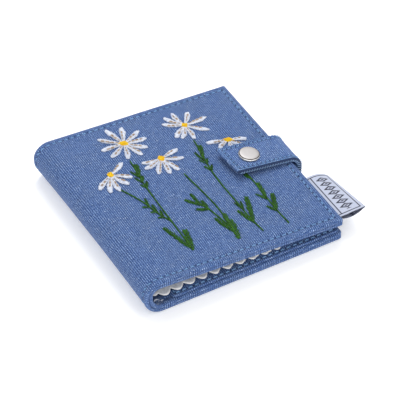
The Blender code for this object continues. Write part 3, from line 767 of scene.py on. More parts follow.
def from_back_edge(s, y, depth):
    """Points on the case, at distances from the back cover's free edge."""
    spots = CASE.at(s, depth + hollow(s, y))
    return np.stack([spots[..., 0], y, spots[..., 1]], -1)


def from_front_edge(e, y, depth):
    """Points on the case, at distances from the front cover's free edge."""
    return from_back_edge(FRONT_END - e, y, depth)


def fold_blend(piece, group):
    """Bake a piece's transform into its mesh. The ends of the fold between the spine and its cover are found
    but not used.
    """
    if group == "back_cover":
        start, end = CASE.spot(BACK_END, 0.0), CASE.spot(SPINE_START, 0.0)
        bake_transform(piece)
    else:
        start, end = CASE.spot(SPINE_END, 0.0), CASE.spot(FRONT_START, 0.0)
        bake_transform(piece)


def cover_rims(sense, depths):
    """The rounded edge, the turning into the seam, and the way down to the wadding."""
    first, seam_line, inner = depths
    return [(0.0, SEAM_DEPTH + sense * first), (0.25, SEAM_DEPTH + sense * seam_line),
            (1.2, SEAM_DEPTH + sense * seam_line), (1.4, inner)]


def make_covers():
    """Outer fabric over wadding, and lining, each running round its fold to the spine's middle."""
    outer_rims = cover_rims(-1.0, (0.35, 0.05, 2.03))
    lining_rims = cover_rims(1.0, (0.45, 0.12, 3.47))
    sides = [
        ("back_cover", from_back_edge, BACK_SEAM, rest_relief, BACK_CORNER, "lower_fold",
         [], ["spine_lining"]),
        ("front_cover", from_front_edge, FRONT_SEAM, cover_relief, FRONT_CORNER, "upper_fold",
         ["spine_outer", "spine_wadding"], []),
    ]
    for group, place, seam, face, corner, fold, outer_too, lining_too in sides:
        cloth = chambray(group + "_chambray", seam)
        size = (seam.length, HALF_DEPTH)

        def outer_relief(e, y, seam=seam, face=face):
            return face(seam, e, y)

        def lining_relief(e, y, seam=seam, group=group):
            """The lining has small crush wrinkles where it is squeezed round the lower fold."""
            past = (e - (BACK_END + SPINE_START) / 2) / 4.5
            crush = np.exp(-past ** 2) * (0.30 + 0.12 * np.sin(e / 0.55) + 0.10 * np.sin(y / 1.9 + e))
            return seam.relief(e, y) - (crush if group == "back_cover" else 0.0)

        outer = panel(group + "_fabric", place, size, 0.0, 1.0, outer_rims, cloth,
                      step=0.55, relief=outer_relief, corner=corner)
        lining = panel(group + "_lining_fabric", place, size, COVER_THICKNESS, -1.0, lining_rims, cloth,
                       step=0.7, relief=lining_relief, corner=corner, roll=LINING_ROLL)
        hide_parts(group + "_outer", group + "_wadding", fold + "_outer", fold + "_wadding",
                    *outer_too)
        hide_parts(group + "_lining", fold + "_lining", *lining_too)
        for piece in (outer, lining):
            fold_blend(piece, group)


def make_pocket():
    """The stitched panel on the back cover's lining."""
    box_low, box_high = low("back_cover_pocket"), high("back_cover_pocket")
    length, half, bottom = box_high.x - box_low.x, box_high.y, box_low.z
    seam = Seam(length, half, POCKET_INSET, TOPSTITCH_PITCH, POCKET_CHANNEL, far=True)

    def place(e, y, depth):
        return np.stack([box_high.x - e, y, depth], -1)

    def on_panel(e, y, lift):
        return Vector((box_high.x - e, y, POCKET_TOP_Z - seam.relief_at(e, y) + lift))

    rims = [(0.0, bottom + 0.25), (0.2, bottom + 0.02)]
    piece = panel("pocket_panel", place, (length, half), POCKET_TOP_Z, -1.0, rims,
                  chambray("pocket_chambray", seam), step=0.6, relief=seam.relief, corner=POCKET_CORNER,
                  roll=POCKET_ROLL, far_edge=True)
    fasten(piece, "back_cover", "chambray", "back_cover_pocket")
    stitches = Threads()
    stitch_row(stitches, seam.path(), on_panel, TOPSTITCH_PITCH)
    fasten(stitches.build("pocket_topstitch", LOOKS["blue"]), "back_cover", "blue_thread")


def stitch_row(threads, path, place, pitch, radius=THREAD_RADIUS, up=Vector((0, 0, 1))):
    """Running stitches along a polyline. Each dives into the cloth at both ends."""
    for (a0, y0), (a1, y1) in zip(path, path[1:]):
        count = max(1, round(math.hypot(a1 - a0, y1 - y0) / pitch))
        for k in range(count):
            first = (k + 0.5 * (1 - STITCH_FILL)) / count
            line = []
            for i in range(6):
                share = first + STITCH_FILL / count * i / 5
                lift = 0.42 * math.sin(math.pi * i / 5) ** 0.7 - 0.12
                line.append(place(a0 + (a1 - a0) * share, y0 + (y1 - y0) * share, lift))
            threads.add(line, radius, up)


def make_topstitch():
    """Blue topstitching round both covers and their folds, and on the front cover's lining."""
    sides = [("back_cover", BACK_SEAM, rest_relief, THREAD_RADIUS, lambda e: e),
             ("front_cover", FRONT_SEAM, cover_relief, -1.0, lambda e: FRONT_END - e)]
    for group, seam, face, least, measure in sides:

        def outside(e, y, lift, seam=seam, measure=measure, face=face, least=least):
            relief = float(face(seam, np.array(e), np.array(y)) + hollow(measure(e), y))
            return CASE.spot(measure(e), y, max(relief - lift, least))

        def inside(e, y, lift, seam=seam, measure=measure):
            relief = float(seam.relief(np.array(e), np.array(y)) - hollow(measure(e), y))
            return CASE.spot(measure(e), y, COVER_THICKNESS - relief + lift)

        rows = [("_topstitch", outside)]
        if group == "front_cover":
            rows.append(("_inner_topstitch", inside))
        for kind, place in rows:
            threads = Threads()
            path = seam.path()
            for end in (0, -1):
                path[end] = (path[end][0] - 1.0, path[end][1])
            stitch_row(threads, path, place, TOPSTITCH_PITCH, up=Vector((0.3, 0.2, 1.0)))
            piece = threads.build(group + kind, LOOKS["blue"])
            fold_blend(piece, group)


# ---------------------------------------------------------------- felt

LEAF_FOLD_X = -51.0
LEAF_FOLD_Z = 0.5 * (low("felt_stitched_fold").z + high("felt_stitched_fold").z)
LEAF_OFFSET = 0.65         # from the fold's middle to each leaf's middle, beside the fold
LEAF_THICKNESS = 0.9
LEAF_MARGIN = 1.5          # from the head and tail edges to the teeth, near the spine
LEAF_TAPER = 3.6           # how much narrower the front leaf gets towards the fore-edge
BACK_LEAF_INSET = 2.2      # the back leaf is this much smaller all round
SCALLOP_PITCH = 7.3
SCALLOP_DEPTH = 3.3
SCALLOP_REACH = 7.0        # how far in from an edge its teeth are drawn out of the sheet
LEAF_WAIST = 1.5           # a leaf's teeth start this much further in, away from the spine
FRONT_LEAF_DROOP = 1.3     # how far a leaf's corners sag beside the spine
BACK_LEAF_DROOP = 1.6
GUTTER_THREAD_RADIUS = 0.22


def scallop(along, start, length):
    """Pinked teeth: rounded tips with sharper valleys."""
    count = round(length / SCALLOP_PITCH)
    return SCALLOP_DEPTH * np.abs(np.sin(math.pi * (along - start) / (length / count))) ** 0.85


def rising(value, start, span):
    """0 up to the start, then rising to 1 over the span."""
    return np.clip((value - start) / span, 0.0, 1.0)


def make_leaf(group, node, sign):
    """A felt leaf from the stitched fold to its pinked edges."""
    inset = 0.0 if sign > 0 else BACK_LEAF_INSET
    fore = high(node).x - inset
    hinge_z = LEAF_FOLD_Z + sign * LEAF_OFFSET
    end_z = low(node).z + 0.6
    inner = HALF_DEPTH - LEAF_MARGIN - SCALLOP_DEPTH - inset
    length = fore - SCALLOP_DEPTH - LEAF_FOLD_X
    p, q = np.meshgrid(np.linspace(0.0, length, 190), np.linspace(-inner, inner, 200), indexing="ij")
    to_edge = np.clip(1 - (length - p) / SCALLOP_REACH, 0, 1) ** 2
    to_head = np.clip(1 - (inner - np.abs(q)) / SCALLOP_REACH, 0, 1) ** 2
    straight = np.clip(p / 4.0, 0, 1)
    x = LEAF_FOLD_X + p + to_edge * scallop(q, -inner, 2 * inner)
    waist = rising(x, -32.0, 14.0)
    deeper = 1.0 + 0.36 * waist
    y = q + np.sign(q) * to_head * (scallop(p, 3.4, length) * straight * deeper - LEAF_WAIST * waist)
    far = rising(x, 16.0, 30.0)
    y = y * (1.0 - LEAF_TAPER / HALF_DEPTH * far * far * (3.0 - 2.0 * far))
    middle = hinge_z + (end_z - hinge_z) * (x - LEAF_FOLD_X) / (fore - LEAF_FOLD_X)
    edge = np.clip(np.minimum(length - p, inner - np.abs(q)) / 10.0, 0, 1)
    wave = 0.10 * np.sin(x / 7.0 + y / 13.0) + 0.08 * np.sin(y / 8.0 - x / 19.0)
    middle = middle + wave * (0.4 + 0.6 * edge)
    droop = rising(-x, 30.0, 16.0) * rising(np.abs(y), 44.0, 12.0) ** 2
    middle = middle - (FRONT_LEAF_DROOP if sign > 0 else BACK_LEAF_DROOP) * droop
    n, m = p.shape
    half = LEAF_THICKNESS / 2
    top = np.stack([x, y, middle + half], -1)
    bottom = np.stack([x, y, middle - half], -1)
    rim = [(i, 0) for i in range(n)] + [(n - 1, j) for j in range(1, m)]
    rim += [(i, m - 1) for i in range(n - 2, -1, -1)] + [(0, j) for j in range(m - 2, 0, -1)]
    rim_i, rim_j = np.array(rim).T
    side = np.stack([x[rim_i, rim_j], y[rim_i, rim_j], middle[rim_i, rim_j]], -1)
    bulge = 0.3
    side[:, 0] += np.where(rim_i == n - 1, bulge, 0.0)
    side[:, 1] += np.where(rim_j == m - 1, bulge, np.where(rim_j == 0, -bulge, 0.0))
    points = np.concatenate([top.reshape(-1, 3), bottom.reshape(-1, 3), side])
    faces = grid_faces(n, m) + grid_faces(n, m, n * m)
    ring = [i * m + j for i, j in rim]
    count = len(ring)
    faces += [(base + ring[k], base + ring[(k + 1) % count], 2 * n * m + (k + 1) % count, 2 * n * m + k)
              for base in (0, n * m) for k in range(count)]
    piece = finish_piece(node + "_sheet", points, faces, LOOKS["felt"], sharp=70.0)
    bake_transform(piece)
    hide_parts(node)
    (fore - LEAF_FOLD_X) * MM
    2 * (inner + SCALLOP_DEPTH) * MM


def make_felt_fold():
    """The rounded fold that joins the two leaves."""
    half = HALF_DEPTH - LEAF_MARGIN - SCALLOP_DEPTH
    rings = []
    for y in np.linspace(-half, half, 80):
        ring = []
        for i in range(13):
            angle = math.pi * (0.5 + i / 12)
            wobble = 1.0 + 0.03 * math.sin(y / 3.0 + i)
            ring.append((LEAF_FOLD_X + 0.05 + 1.22 * wobble * math.cos(angle), y,
                         LEAF_FOLD_Z + 1.1 * math.sin(angle)))
        rings.append(np.array(ring))
    fasten(sweep("felt_fold", rings, LOOKS["felt"]), "spine", "felt", "felt_stitched_fold")


def make_gutter_threads():
    """Thread ends tangled inside the spine at the head and tail, where the felt is sewn in. The many dark
    ones also stand in as painted shade lining the fold's inside.
    """
    spread = np.array([2.9, 1.1, 2.3])
    # The dark threads are partly real thread ends and partly painted shade inside the spine's fold.
    for name, look, slot, count in (("gutter_threads_and_shade", "dark", "blue_thread", 64),
                                    ("white_gutter_threads", "white", "white_thread", 14)):
        threads = Threads()
        for k in range(count):
            way = 1.0 if k % 2 else -1.0
            middle = np.array([LEAF_FOLD_X + 2.0, way * (HALF_DEPTH - 1.7), LEAF_FOLD_Z - 3.0])
            knots = [middle + spread * [RANDOM.uniform(-1.0, 1.0) for axis in range(3)] for turn in range(4)]
            line = []
            for i in range(13):
                t = i / 12
                weights = ((1 - t) ** 3, 3 * t * (1 - t) ** 2, 3 * t * t * (1 - t), t ** 3)
                line.append(Vector(sum(w * knot for w, knot in zip(weights, knots))))
            threads.add(line, GUTTER_THREAD_RADIUS)
        fasten(threads.build(name, LOOKS[look]), "spine", slot)


# ---------------------------------------------------------------- tab

def on_tab(s, y, depth):
    """Points on the strap, as arrays, from the way along it, across it, and off its middle line."""
    spots = TAB.at(s, depth)
    share = np.clip((s - TAB.marks[4]) / (TAB.length - TAB.marks[4]), 0.0, 1.0)
    x = spots[..., 0] + TAB_SKEW * share * (0.5 - 0.5 * y / TAB_HALF_WIDTH)
    return np.stack([x, TAB_Y + y - TAB_LEAN * (1.0 - share), spots[..., 1]], -1)


def tab_spot(s, y, depth):
    return Vector(on_tab(np.array([s]), np.array([y]), depth)[0])


def whip_stitches(threads, first, last):
    """Slanted stitches over the strap's two long edges."""
    count = round((last - first) / WHIP_PITCH)
    for way in (-1.0, 1.0):
        for k in range(count):
            line = []
            for i in range(8):
                angle = math.radians(-10.0 + 125.0 * i / 7)
                s = first + (last - first) * (k + 0.2 + 0.03 * i) / count
                y = way * (TAB_HALF_WIDTH - 0.45 + 0.62 * math.cos(angle))
                line.append(tab_spot(s, y, 0.60 * TAB_THICKNESS * math.sin(angle)))
            threads.add(line, TAB_THREAD_RADIUS, Vector((1.0, 0.1, 0.3)))


def tab_piece(name, first, last, nodes, fold, cloth, seam):
    """One stretch of the strap, bent across one of its folds, with its stitches."""
    half = TAB_HALF_WIDTH
    thick = TAB_THICKNESS / 2
    stations = list(np.linspace(first, last, round((last - first) / 0.4) + 1))
    if last > TAB.length - 0.01:
        stations = [s for s in stations if s < last - 1.3]
        stations += [last - e for e in (1.2, 0.9, 0.6, 0.35, 0.15, 0.03)]
    ys = np.linspace(0.6 - half, half - 0.6, 54)
    side = [(0.2, 0.66), (0.0, 0.36), (0.22, 0.0), (0.0, -0.36), (0.2, -0.66)]
    side_in = np.array([p[0] for p in side])
    side_depth = np.array([p[1] * thick for p in side])
    round_edge = half + 0.4 * np.arange(1, len(side) + 1)
    across = np.concatenate([ys, round_edge, ys[::-1], -round_edge])
    y_loop = np.concatenate([ys, half - side_in[::-1], ys[::-1], side_in - half])
    rings, uvs = [], []
    for s in stations:
        e = TAB.length - s
        corner = TAB_CORNER - math.sqrt(TAB_CORNER ** 2 - max(TAB_CORNER - e, 0.0) ** 2)
        flat = math.sqrt(max(1 - max(1 - e / 0.6, 0.0) ** 2, 0.05))
        relief = seam.relief(np.full(len(ys), e), ys)
        depths = np.concatenate([relief - thick, side_depth[::-1], (thick - relief)[::-1], side_depth])
        rings.append(on_tab(np.full(len(y_loop), s), y_loop * (half - corner) / half, depths * flat))
        uvs.append(np.stack([np.full(len(across), e), across], 1))
    ends = [TAB.spot(s, 0.0) * MM for s in fold]
    piece = sweep(name, rings, cloth, np.concatenate(uvs))
    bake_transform(piece)
    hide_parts(*nodes)
    (last - first) * MM
    threads = Threads()
    begin = max(first, TAB.marks[1])
    for face in (-1.0, 1.0):

        def place(s, y, lift, face=face):
            return tab_spot(s, y, face * (thick - seam.relief_at(TAB.length - s, y) + lift))

        for inset, pitch, radius in ((TAB_STITCH_INSET, TAB_STITCH_PITCH, TAB_THREAD_RADIUS),
                                     (EDGE_STITCH_INSET, EDGE_STITCH_PITCH, EDGE_THREAD_RADIUS)):
            row = half - inset
            stop = min(last, TAB.length - inset)
            runs = [[(begin, -row), (stop, -row)], [(begin, row), (stop, row)]]
            if stop < last:
                runs.append([(stop, -row), (stop, row)])
            for run in runs:
                stitch_row(threads, run, place, pitch, radius, Vector((0.2, 0.3, 1.0)))
    edge_threads = Threads()
    whip_stitches(edge_threads, begin, min(last, TAB.length - 1.0))
    for made, kind, look in ((threads, "_topstitch", "blue"), (edge_threads, "_edge_stitches", "pale_blue")):
        rows = made.build(name + kind, LOOKS[look])
        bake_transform(rows)


def make_tab():
    """The strap in two stretches, which meet halfway up its riser."""
    seam = Seam(TAB.length, TAB_HALF_WIDTH, TAB_STITCH_INSET, TAB_STITCH_PITCH, TAB_CHANNEL, whipped=0.7)
    # The tab's copy of the cloth is drawn 1.13 times paler than the covers'.
    cloth = chambray("tab_chambray", seam, paleness=1.13)
    riser_middle = 0.5 * (TAB.marks[2] + TAB.marks[3])
    tab_piece("tab_root_strap", TAB.marks[0], riser_middle,
              ["tab_root_outer", "tab_root_lining", "tab_riser_outer", "tab_riser_lining"],
              (TAB.marks[1], TAB.marks[2]), cloth, seam)
    tab_piece("tab_flap_strap", riser_middle, TAB.length,
              ["tab_bend_outer", "tab_bend_lining", "tab_flap_outer", "tab_flap_interfacing",
               "tab_flap_lining"],
              (TAB.marks[3], TAB.marks[4]), cloth, seam)


RIVET_RADIUS = 1.1
# The cap's radius, and its height above the strap's face, from its underside to its crown
CAP_PROFILE = [(5.20, 0.0), (5.48, 0.06), (5.64, 0.22), (5.70, 0.45), (5.70, 0.68), (5.63, 0.90),
               (5.44, 1.16), (5.35, 1.22), (5.28, 1.20), (5.20, 1.26), (5.10, 1.40), (4.95, 1.50),
               (4.70, 1.55), (3.6, 1.60), (2.0, 1.62), (0.6, 1.63)]
# Which of its bands carry painted shade, a near black plate at its foot and in the groove round its crown
# (1), and which are polished (2), counted from the rivet
CAP_BANDS = {2: 1, 3: 1, 6: 2, 7: 2, 8: 1, 9: 1, 10: 1, 11: 1}


def make_press_stud():
    """A finer cap over the CAD's socket, stud, post and spring, which are plated."""
    middle = 0.5 * (low("snap_cap") + high("snap_cap"))
    ahead = np.array([-math.cos(TAB_FLAP_SLOPE), math.sin(TAB_FLAP_SLOPE)])
    up = np.array([math.sin(TAB_FLAP_SLOPE), math.cos(TAB_FLAP_SLOPE)])
    on_flap = TAB.at(np.array([TAB.length]), np.array([0.0]))[0]
    foot = on_flap + ((middle.x - on_flap[0]) * ahead[0] + (middle.z - on_flap[1]) * ahead[1]) * ahead
    top = TAB_THICKNESS / 2 + 0.02
    profile = [(RIVET_RADIUS, -TAB_THICKNESS / 2), (RIVET_RADIUS, top)]
    profile += [(radius, top + lift) for radius, lift in CAP_PROFILE]
    steps = 96
    angles = np.arange(steps) * 2 * math.pi / steps
    rings = []
    for radius, height in profile:
        flat = radius * np.cos(angles)[:, None] * ahead + height * up
        y = middle.y + radius * np.sin(angles)
        rings.append(np.stack([foot[0] + flat[:, 0], y, foot[1] + flat[:, 1]], 1))
    cap = sweep("press_stud_cap", rings, LOOKS["nickel"])
    cap.data.materials.append(LOOKS["painted_shade"])
    cap.data.materials.append(LOOKS["polished"])
    for face in cap.data.polygons:
        face.material_index = CAP_BANDS.get(face.index // steps, 0)
    fasten(cap, "tab_flap", "nickel", "snap_cap")
    for node, look in (("snap_socket", "nickel"), ("snap_stud", "nickel"), ("snap_post", "nickel"),
                       ("snap_spring", "spring"), ("back_cover_board", "card"),
                       ("front_cover_board", "card")):
        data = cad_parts[node].data
        data.materials.clear()
        data.materials.append(LOOKS[look])


# ---------------------------------------------------------------- label


def make_label():
    """The ribbon in the front cover's fore-edge. It arches at its head side and gapes at its tail side."""
    box_low, box_high = low("woven_label"), high("woven_label")
    width = box_high.y - box_low.y
    edge = CASE.at(np.array([FRONT_END]), np.array([SEAM_DEPTH]))[0]
    ahead = np.array([math.cos(-COVER_SLOPE), math.sin(-COVER_SLOPE)])
    up = np.array([-ahead[1], ahead[0]])
    half = 0.16
    crease = 0.22
    held = 2.8
    columns = np.linspace(0.0, width, 40)
    head = columns / width
    fold = float((box_high.x - edge[0]) / ahead[0])
    reach = fold - 1.5 * head

    def layer(share, tail_rise, head_rise, way):
        """A ribbon layer's points. Each rise is how its height grows with the share and its square."""
        rise = [linear * share + square * share ** 2 for linear, square in (tail_rise, head_rise)]
        return np.stack([share * reach, (1 - head) * rise[0] + head * rise[1] + way * crease], 1)

    def in_seam(way):
        return np.stack([0 * head - held, 0 * head + way * crease], 1)

    shares = np.linspace(0.0, 1.0, 24)
    rows = [in_seam(1.0)] + [layer(t, (1.6, 0.0), (4.8, -7.4), 1.0) for t in shares]
    tip = rows[-1] - (0.0, crease)
    rows += [tip + crease * np.array([math.sin(t), math.cos(t)]) for t in np.linspace(0, math.pi, 9)[1:-1]]
    rows += [layer(t, (-9.2, 10.8), (-5.6, 3.0), -1.0) for t in shares[::-1]] + [in_seam(-1.0)]
    rows = np.array(rows)
    along = np.gradient(rows, axis=0)
    normal = np.stack([-along[..., 1], along[..., 0]], -1)
    normal /= np.linalg.norm(normal, axis=-1)[..., None]
    gone = np.concatenate([[0.0], np.cumsum(np.hypot(*np.diff(rows[:, 0], axis=0).T))])
    seen = (gone - held) * 2 * fold / (gone[-1] - 2 * held)
    order = list(range(len(columns)))
    rings, uvs = [], []
    for k, row in enumerate(rows):
        ring = []
        for side, js in ((half, order), (-half, order[::-1])):
            for j in js:
                a, b = row[j] + side * normal[k, j]
                spot = edge + a * ahead + b * up
                ring.append((spot[0], box_low.y + columns[j], spot[1]))
                uvs.append((seen[k], columns[j]))
        rings.append(np.array(ring))
    label = sweep("loop_label", rings, label_cloth(width, fold), uvs)
    label.data.materials.append(LOOKS["wrong_side_and_shade"])
    around = 2 * len(columns)
    # The inside of the loop takes the wrong side's darker look, which is partly painted shade.
    for face in label.data.polygons:
        if face.index < around * (len(rows) - 1) and face.index % around >= len(columns):
            face.material_index = 1
    fasten(label, "front_cover", "woven_label", "woven_label")


# ---------------------------------------------------------------- embroidery

def on_cover(x, y, height):
    """A point over the front cover's face, at its X and Y and at a height above the cloth."""
    s = FRONT_START + (x - CASE.spot(FRONT_START, 0.0).x) / math.cos(COVER_SLOPE)
    relief = float(cover_relief(FRONT_SEAM, np.array(FRONT_END - s), np.array(y)))
    return CASE.spot(s, y, relief - height)


PETAL_THREAD, VEIN_THREAD, EYE_THREAD, STEM_THREAD, LEAF_THREAD = 0.24, 0.25, 0.25, 0.34, 0.31
PETAL_SPACING, EYE_SPACING, STEM_SPACING, LEAF_SPACING = 0.40, 0.36, 1.3, 0.95
PETAL_START = 1.4
PETAL_HALF_WIDTH = 1.40
VEIN_STITCH = 2.4
STEM_STITCH = 2.3


def compass(angle):
    """A flat direction, and the one to its left."""
    return Vector((math.cos(angle), math.sin(angle))), Vector((-math.sin(angle), math.cos(angle)))


def strand(threads, stitch, radius):
    """One stitch, from flat points with their heights above the cloth."""
    threads.add([on_cover(point.x, point.y, height) for point, height in stitch], radius)


def satin_petal(threads, centre, angle, reach):
    """Slanted satin stitches side by side, narrow at the eye and uneven at the edges."""
    out, side = compass(angle)
    count = round((reach - PETAL_START) / PETAL_SPACING)
    slant = RANDOM.choice((-0.8, 0.8))
    point = RANDOM.uniform(0.25, 0.75)
    lean = RANDOM.uniform(-0.5, 0.5)
    for k in range(count + 1):
        share = k / count
        belly = 0.30 + 0.70 * min(share / 0.62, 1.0) ** 0.9
        tip = 1.0 - (1.0 - 0.35 * point) * (max(share - 0.78, 0.0) / 0.22) ** (1.2 + point)
        half = PETAL_HALF_WIDTH * belly * tip + 0.10
        middle = centre + (PETAL_START + (reach - PETAL_START) * share) * out + lean * share * share * side
        stitch = []
        for i in range(5):
            across = -1.0 + 0.5 * i
            frayed = half * (RANDOM.uniform(0.82, 1.24) if i in (0, 4) else 1.0)
            stitch.append((middle + across * frayed * side + across * slant * half * out,
                           0.08 + 0.46 * math.sqrt(1.0 - 0.88 * across * across)))
        strand(threads, stitch, PETAL_THREAD)


def petal_vein(threads, centre, angle, reach):
    """Tan stitches along a petal, in a broken double row."""
    out, side = compass(angle)
    start = RANDOM.uniform(1.8, 3.2)
    end = reach * RANDOM.uniform(0.68, 0.92)
    shift = RANDOM.uniform(-0.55, 0.55)
    count = max(2, round((end - start) / VEIN_STITCH))
    for row, offset in enumerate((0.0, 0.42)):
        for k in range(row, count):
            a = start + (end - start) * k / count + RANDOM.uniform(0.0, 0.5)
            b = start + (end - start) * (k + 1) / count
            wander = RANDOM.uniform(-0.12, 0.12)
            stitch = []
            for i in range(5):
                along = a + (b - a) * i / 4
                stitch.append((centre + along * out + (shift * along / end + offset + wander) * side,
                               0.58 + 0.22 * math.sin(math.pi * i / 4)))
            strand(threads, stitch, VEIN_THREAD)


def satin_eye(threads, centre, turn, length, width):
    """A small raised knot of yellow stitches, in two crossing layers."""
    out, side = compass(turn)
    for along, across_half, height in ((length, width, 0.72), (width * 0.75, length * 0.7, 1.0)):
        count = round(2 * across_half / EYE_SPACING)
        for k in range(count + 1):
            offset = -across_half + 2 * across_half * k / count
            half = along * math.sqrt(max(1.0 - (offset / across_half) ** 2, 0.12))
            half *= RANDOM.uniform(0.85, 1.15)
            stitch = []
            for i in range(5):
                across = -1.0 + 0.5 * i
                stitch.append((centre + across * half * out + (offset + 0.25 * across) * side,
                               height * math.sqrt(1.0 - 0.75 * across * across) + 0.05))
            strand(threads, stitch, EYE_THREAD)
        out, side = side, -out


def stem_stitches(threads, line):
    """A rope of overlapping slanted stitches along a smooth line."""
    knots = [Vector(p) for p in line]
    knots = [2 * knots[0] - knots[1]] + knots + [2 * knots[-1] - knots[-2]]
    points = []
    for a, b, c, d in zip(knots, knots[1:], knots[2:], knots[3:]):
        for i in range(8):
            t = i / 8
            points.append(0.5 * (2 * b + (c - a) * t + (2 * a - 5 * b + 4 * c - d) * t ** 2
                                 + (3 * b - a - 3 * c + d) * t ** 3))
    points.append(knots[-2])
    gone = [0.0]
    for a, b in zip(points, points[1:]):
        gone.append(gone[-1] + (b - a).length)

    def at(distance):
        distance = min(max(distance, 0.0), gone[-1] - 1e-6)
        k = max(i for i in range(len(gone) - 1) if gone[i] <= distance)
        ahead = (points[k + 1] - points[k]).normalized()
        return points[k] + (distance - gone[k]) * ahead, Vector((-ahead.y, ahead.x))

    for k in range(int(gone[-1] / STEM_SPACING)):
        stitch = []
        for i in range(5):
            share = i / 4
            spot, left = at(k * STEM_SPACING + STEM_STITCH * share)
            stitch.append((spot + (0.26 - 0.52 * share) * left, 0.14 + 0.30 * math.sin(math.pi * share)))
        strand(threads, stitch, STEM_THREAD)


def satin_leaf(threads, root, tip, width):
    """Fishbone stitches from a leaf's midrib out to its two edges, with saw-like ends."""
    root, tip = Vector(root), Vector(tip)
    out = (tip - root).normalized()
    side = Vector((-out.y, out.x))
    length = (tip - root).length
    count = max(4, round(length / LEAF_SPACING))
    for k in range(count + 1):
        share = k / count
        half = width * (math.sin(math.pi * min(0.12 + 0.72 * share, 1.0)) ** 0.6)
        middle = root + share * (length - 0.5) * out
        for way in (-1.0, 1.0):
            reach = half * RANDOM.uniform(0.80, 1.45)
            stitch = []
            for i in range(4):
                across = i / 3
                stitch.append((middle + way * across * reach * side + (1.25 * across * half - 0.45) * out,
                               0.46 - 0.30 * across ** 2))
            strand(threads, stitch, LEAF_THREAD)


# Centre, the eye's turn, half length and half width, and each petal's direction and reach
DAISIES = [
    ((-14.5, 39.9), (-42, 2.9, 1.7), [(141, 13.5), (102, 14.0), (65, 13.0), (25, 13.0), (-5, 12.5),
                                      (-39, 12.5), (-70, 12.5), (-104, 12.0), (-145, 12.5), (180, 12.5)]),
    ((-32.4, 21.1), (60, 2.3, 1.5), [(29, 11.5), (-31, 11.0), (-64, 11.5), (-99, 13.0), (-121, 13.5),
                                     (-146, 12.5)]),
    ((-3.0, 20.9), (10, 2.2, 1.9), [(16, 11.5), (-25, 11.5), (-67, 12.0), (-95, 12.0), (-127, 12.0),
                                    (-160, 11.5), (178, 10.5)]),
    ((21.0, 39.0), (15, 1.9, 1.6), [(50, 11.0), (5, 13.5), (-43, 13.0), (-88, 11.5), (-120, 10.5),
                                    (-146, 11.0), (154, 11.5), (127, 12.0), (100, 11.5)]),
    ((35.5, 18.7), (-34, 2.8, 1.5), [(165, 11.5), (-15, 9.5), (-160, 8.0), (-100, 8.0), (-55, 8.0)]),
]

# Each stem's line, any side stem, and each leaf's root, tip and half width
STEMS = [
    ([[(-18.1, 27.0), (-18.9, 18.0), (-20.3, 8.0), (-21.2, -8.0), (-21.9, -26.0), (-22.6, -46.5)]], [
        ((-19.5, 13.8), (-16.7, 23.0), 1.20), ((-19.8, 13.0), (-21.9, 19.6), 0.60),
        ((-20.3, 9.5), (-17.7, 13.9), 0.65), ((-20.6, 9.2), (-22.4, 14.4), 0.50),
        ((-20.3, 4.7), (-18.0, 9.2), 0.70), ((-20.5, 4.8), (-22.5, 8.4), 0.50),
        ((-22.5, -46.3), (-19.0, -31.6), 1.50), ((-22.9, -44.5), (-27.7, -25.7), 1.20)]),
    ([[(-33.3, 9.2), (-29.4, 0.6), (-27.1, -5.9), (-25.9, -11.5), (-24.5, -16.7), (-21.9, -23.4)]], [
        ((-26.4, -9.0), (-25.3, -2.0), 0.60), ((-27.0, -8.9), (-30.1, -7.4), 0.50),
        ((-24.9, -14.7), (-24.3, -7.7), 0.65), ((-24.9, -14.0), (-28.4, -12.6), 0.50),
        ((-23.7, -18.5), (-22.9, -13.2), 0.55), ((-23.8, -19.3), (-26.9, -17.8), 0.50)]),
    ([[(1.7, 6.0), (3.5, -12.0), (4.1, -24.0), (3.6, -34.0), (2.2, -49.0)],
      [(-2.6, -18.2), (-0.5, -23.3), (1.0, -30.9), (2.4, -39.0)]], [
        ((-2.4, -17.9), (-2.9, -9.0), 0.80), ((-2.0, -19.5), (-8.1, -11.9), 0.90),
        ((-0.5, -23.3), (-0.4, -15.9), 0.90), ((-0.7, -23.7), (-6.5, -20.9), 0.90),
        ((1.9, -42.5), (-1.1, -30.7), 1.05), ((3.1, -37.5), (4.9, -29.6), 1.10),
        ((2.2, -49.0), (5.2, -35.0), 1.70)]),
    ([[(19.4, 27.0), (18.6, 20.7), (15.8, 3.0), (14.9, -10.0), (14.9, -26.0), (14.8, -39.0),
       (15.9, -49.8)]], [
        ((17.0, 12.0), (20.1, 21.9), 1.20), ((16.1, 10.5), (14.9, 18.1), 0.60),
        ((16.1, 6.8), (18.6, 11.2), 0.60), ((15.7, 8.3), (14.0, 12.2), 0.50),
        ((15.7, 1.7), (14.0, 6.7), 0.60), ((15.8, 1.6), (18.4, 6.0), 0.60),
        ((14.8, -30.7), (13.5, -24.4), 0.45), ((15.2, -31.2), (17.0, -25.1), 0.50),
        ((15.2, -41.0), (21.3, -23.6), 1.30), ((14.9, -42.0), (12.1, -30.7), 1.00)]),
    ([[(30.3, -7.0), (30.8, -16.0), (30.4, -27.0), (29.9, -38.0), (30.4, -50.5)]], [
        ((30.8, -12.8), (28.9, -8.1), 0.80), ((29.9, -28.8), (32.2, -16.8), 1.10),
        ((29.9, -30.1), (26.5, -23.6), 0.60), ((30.2, -38.5), (34.5, -27.2), 1.20),
        ((29.9, -39.8), (26.8, -34.1), 0.70)]),
]


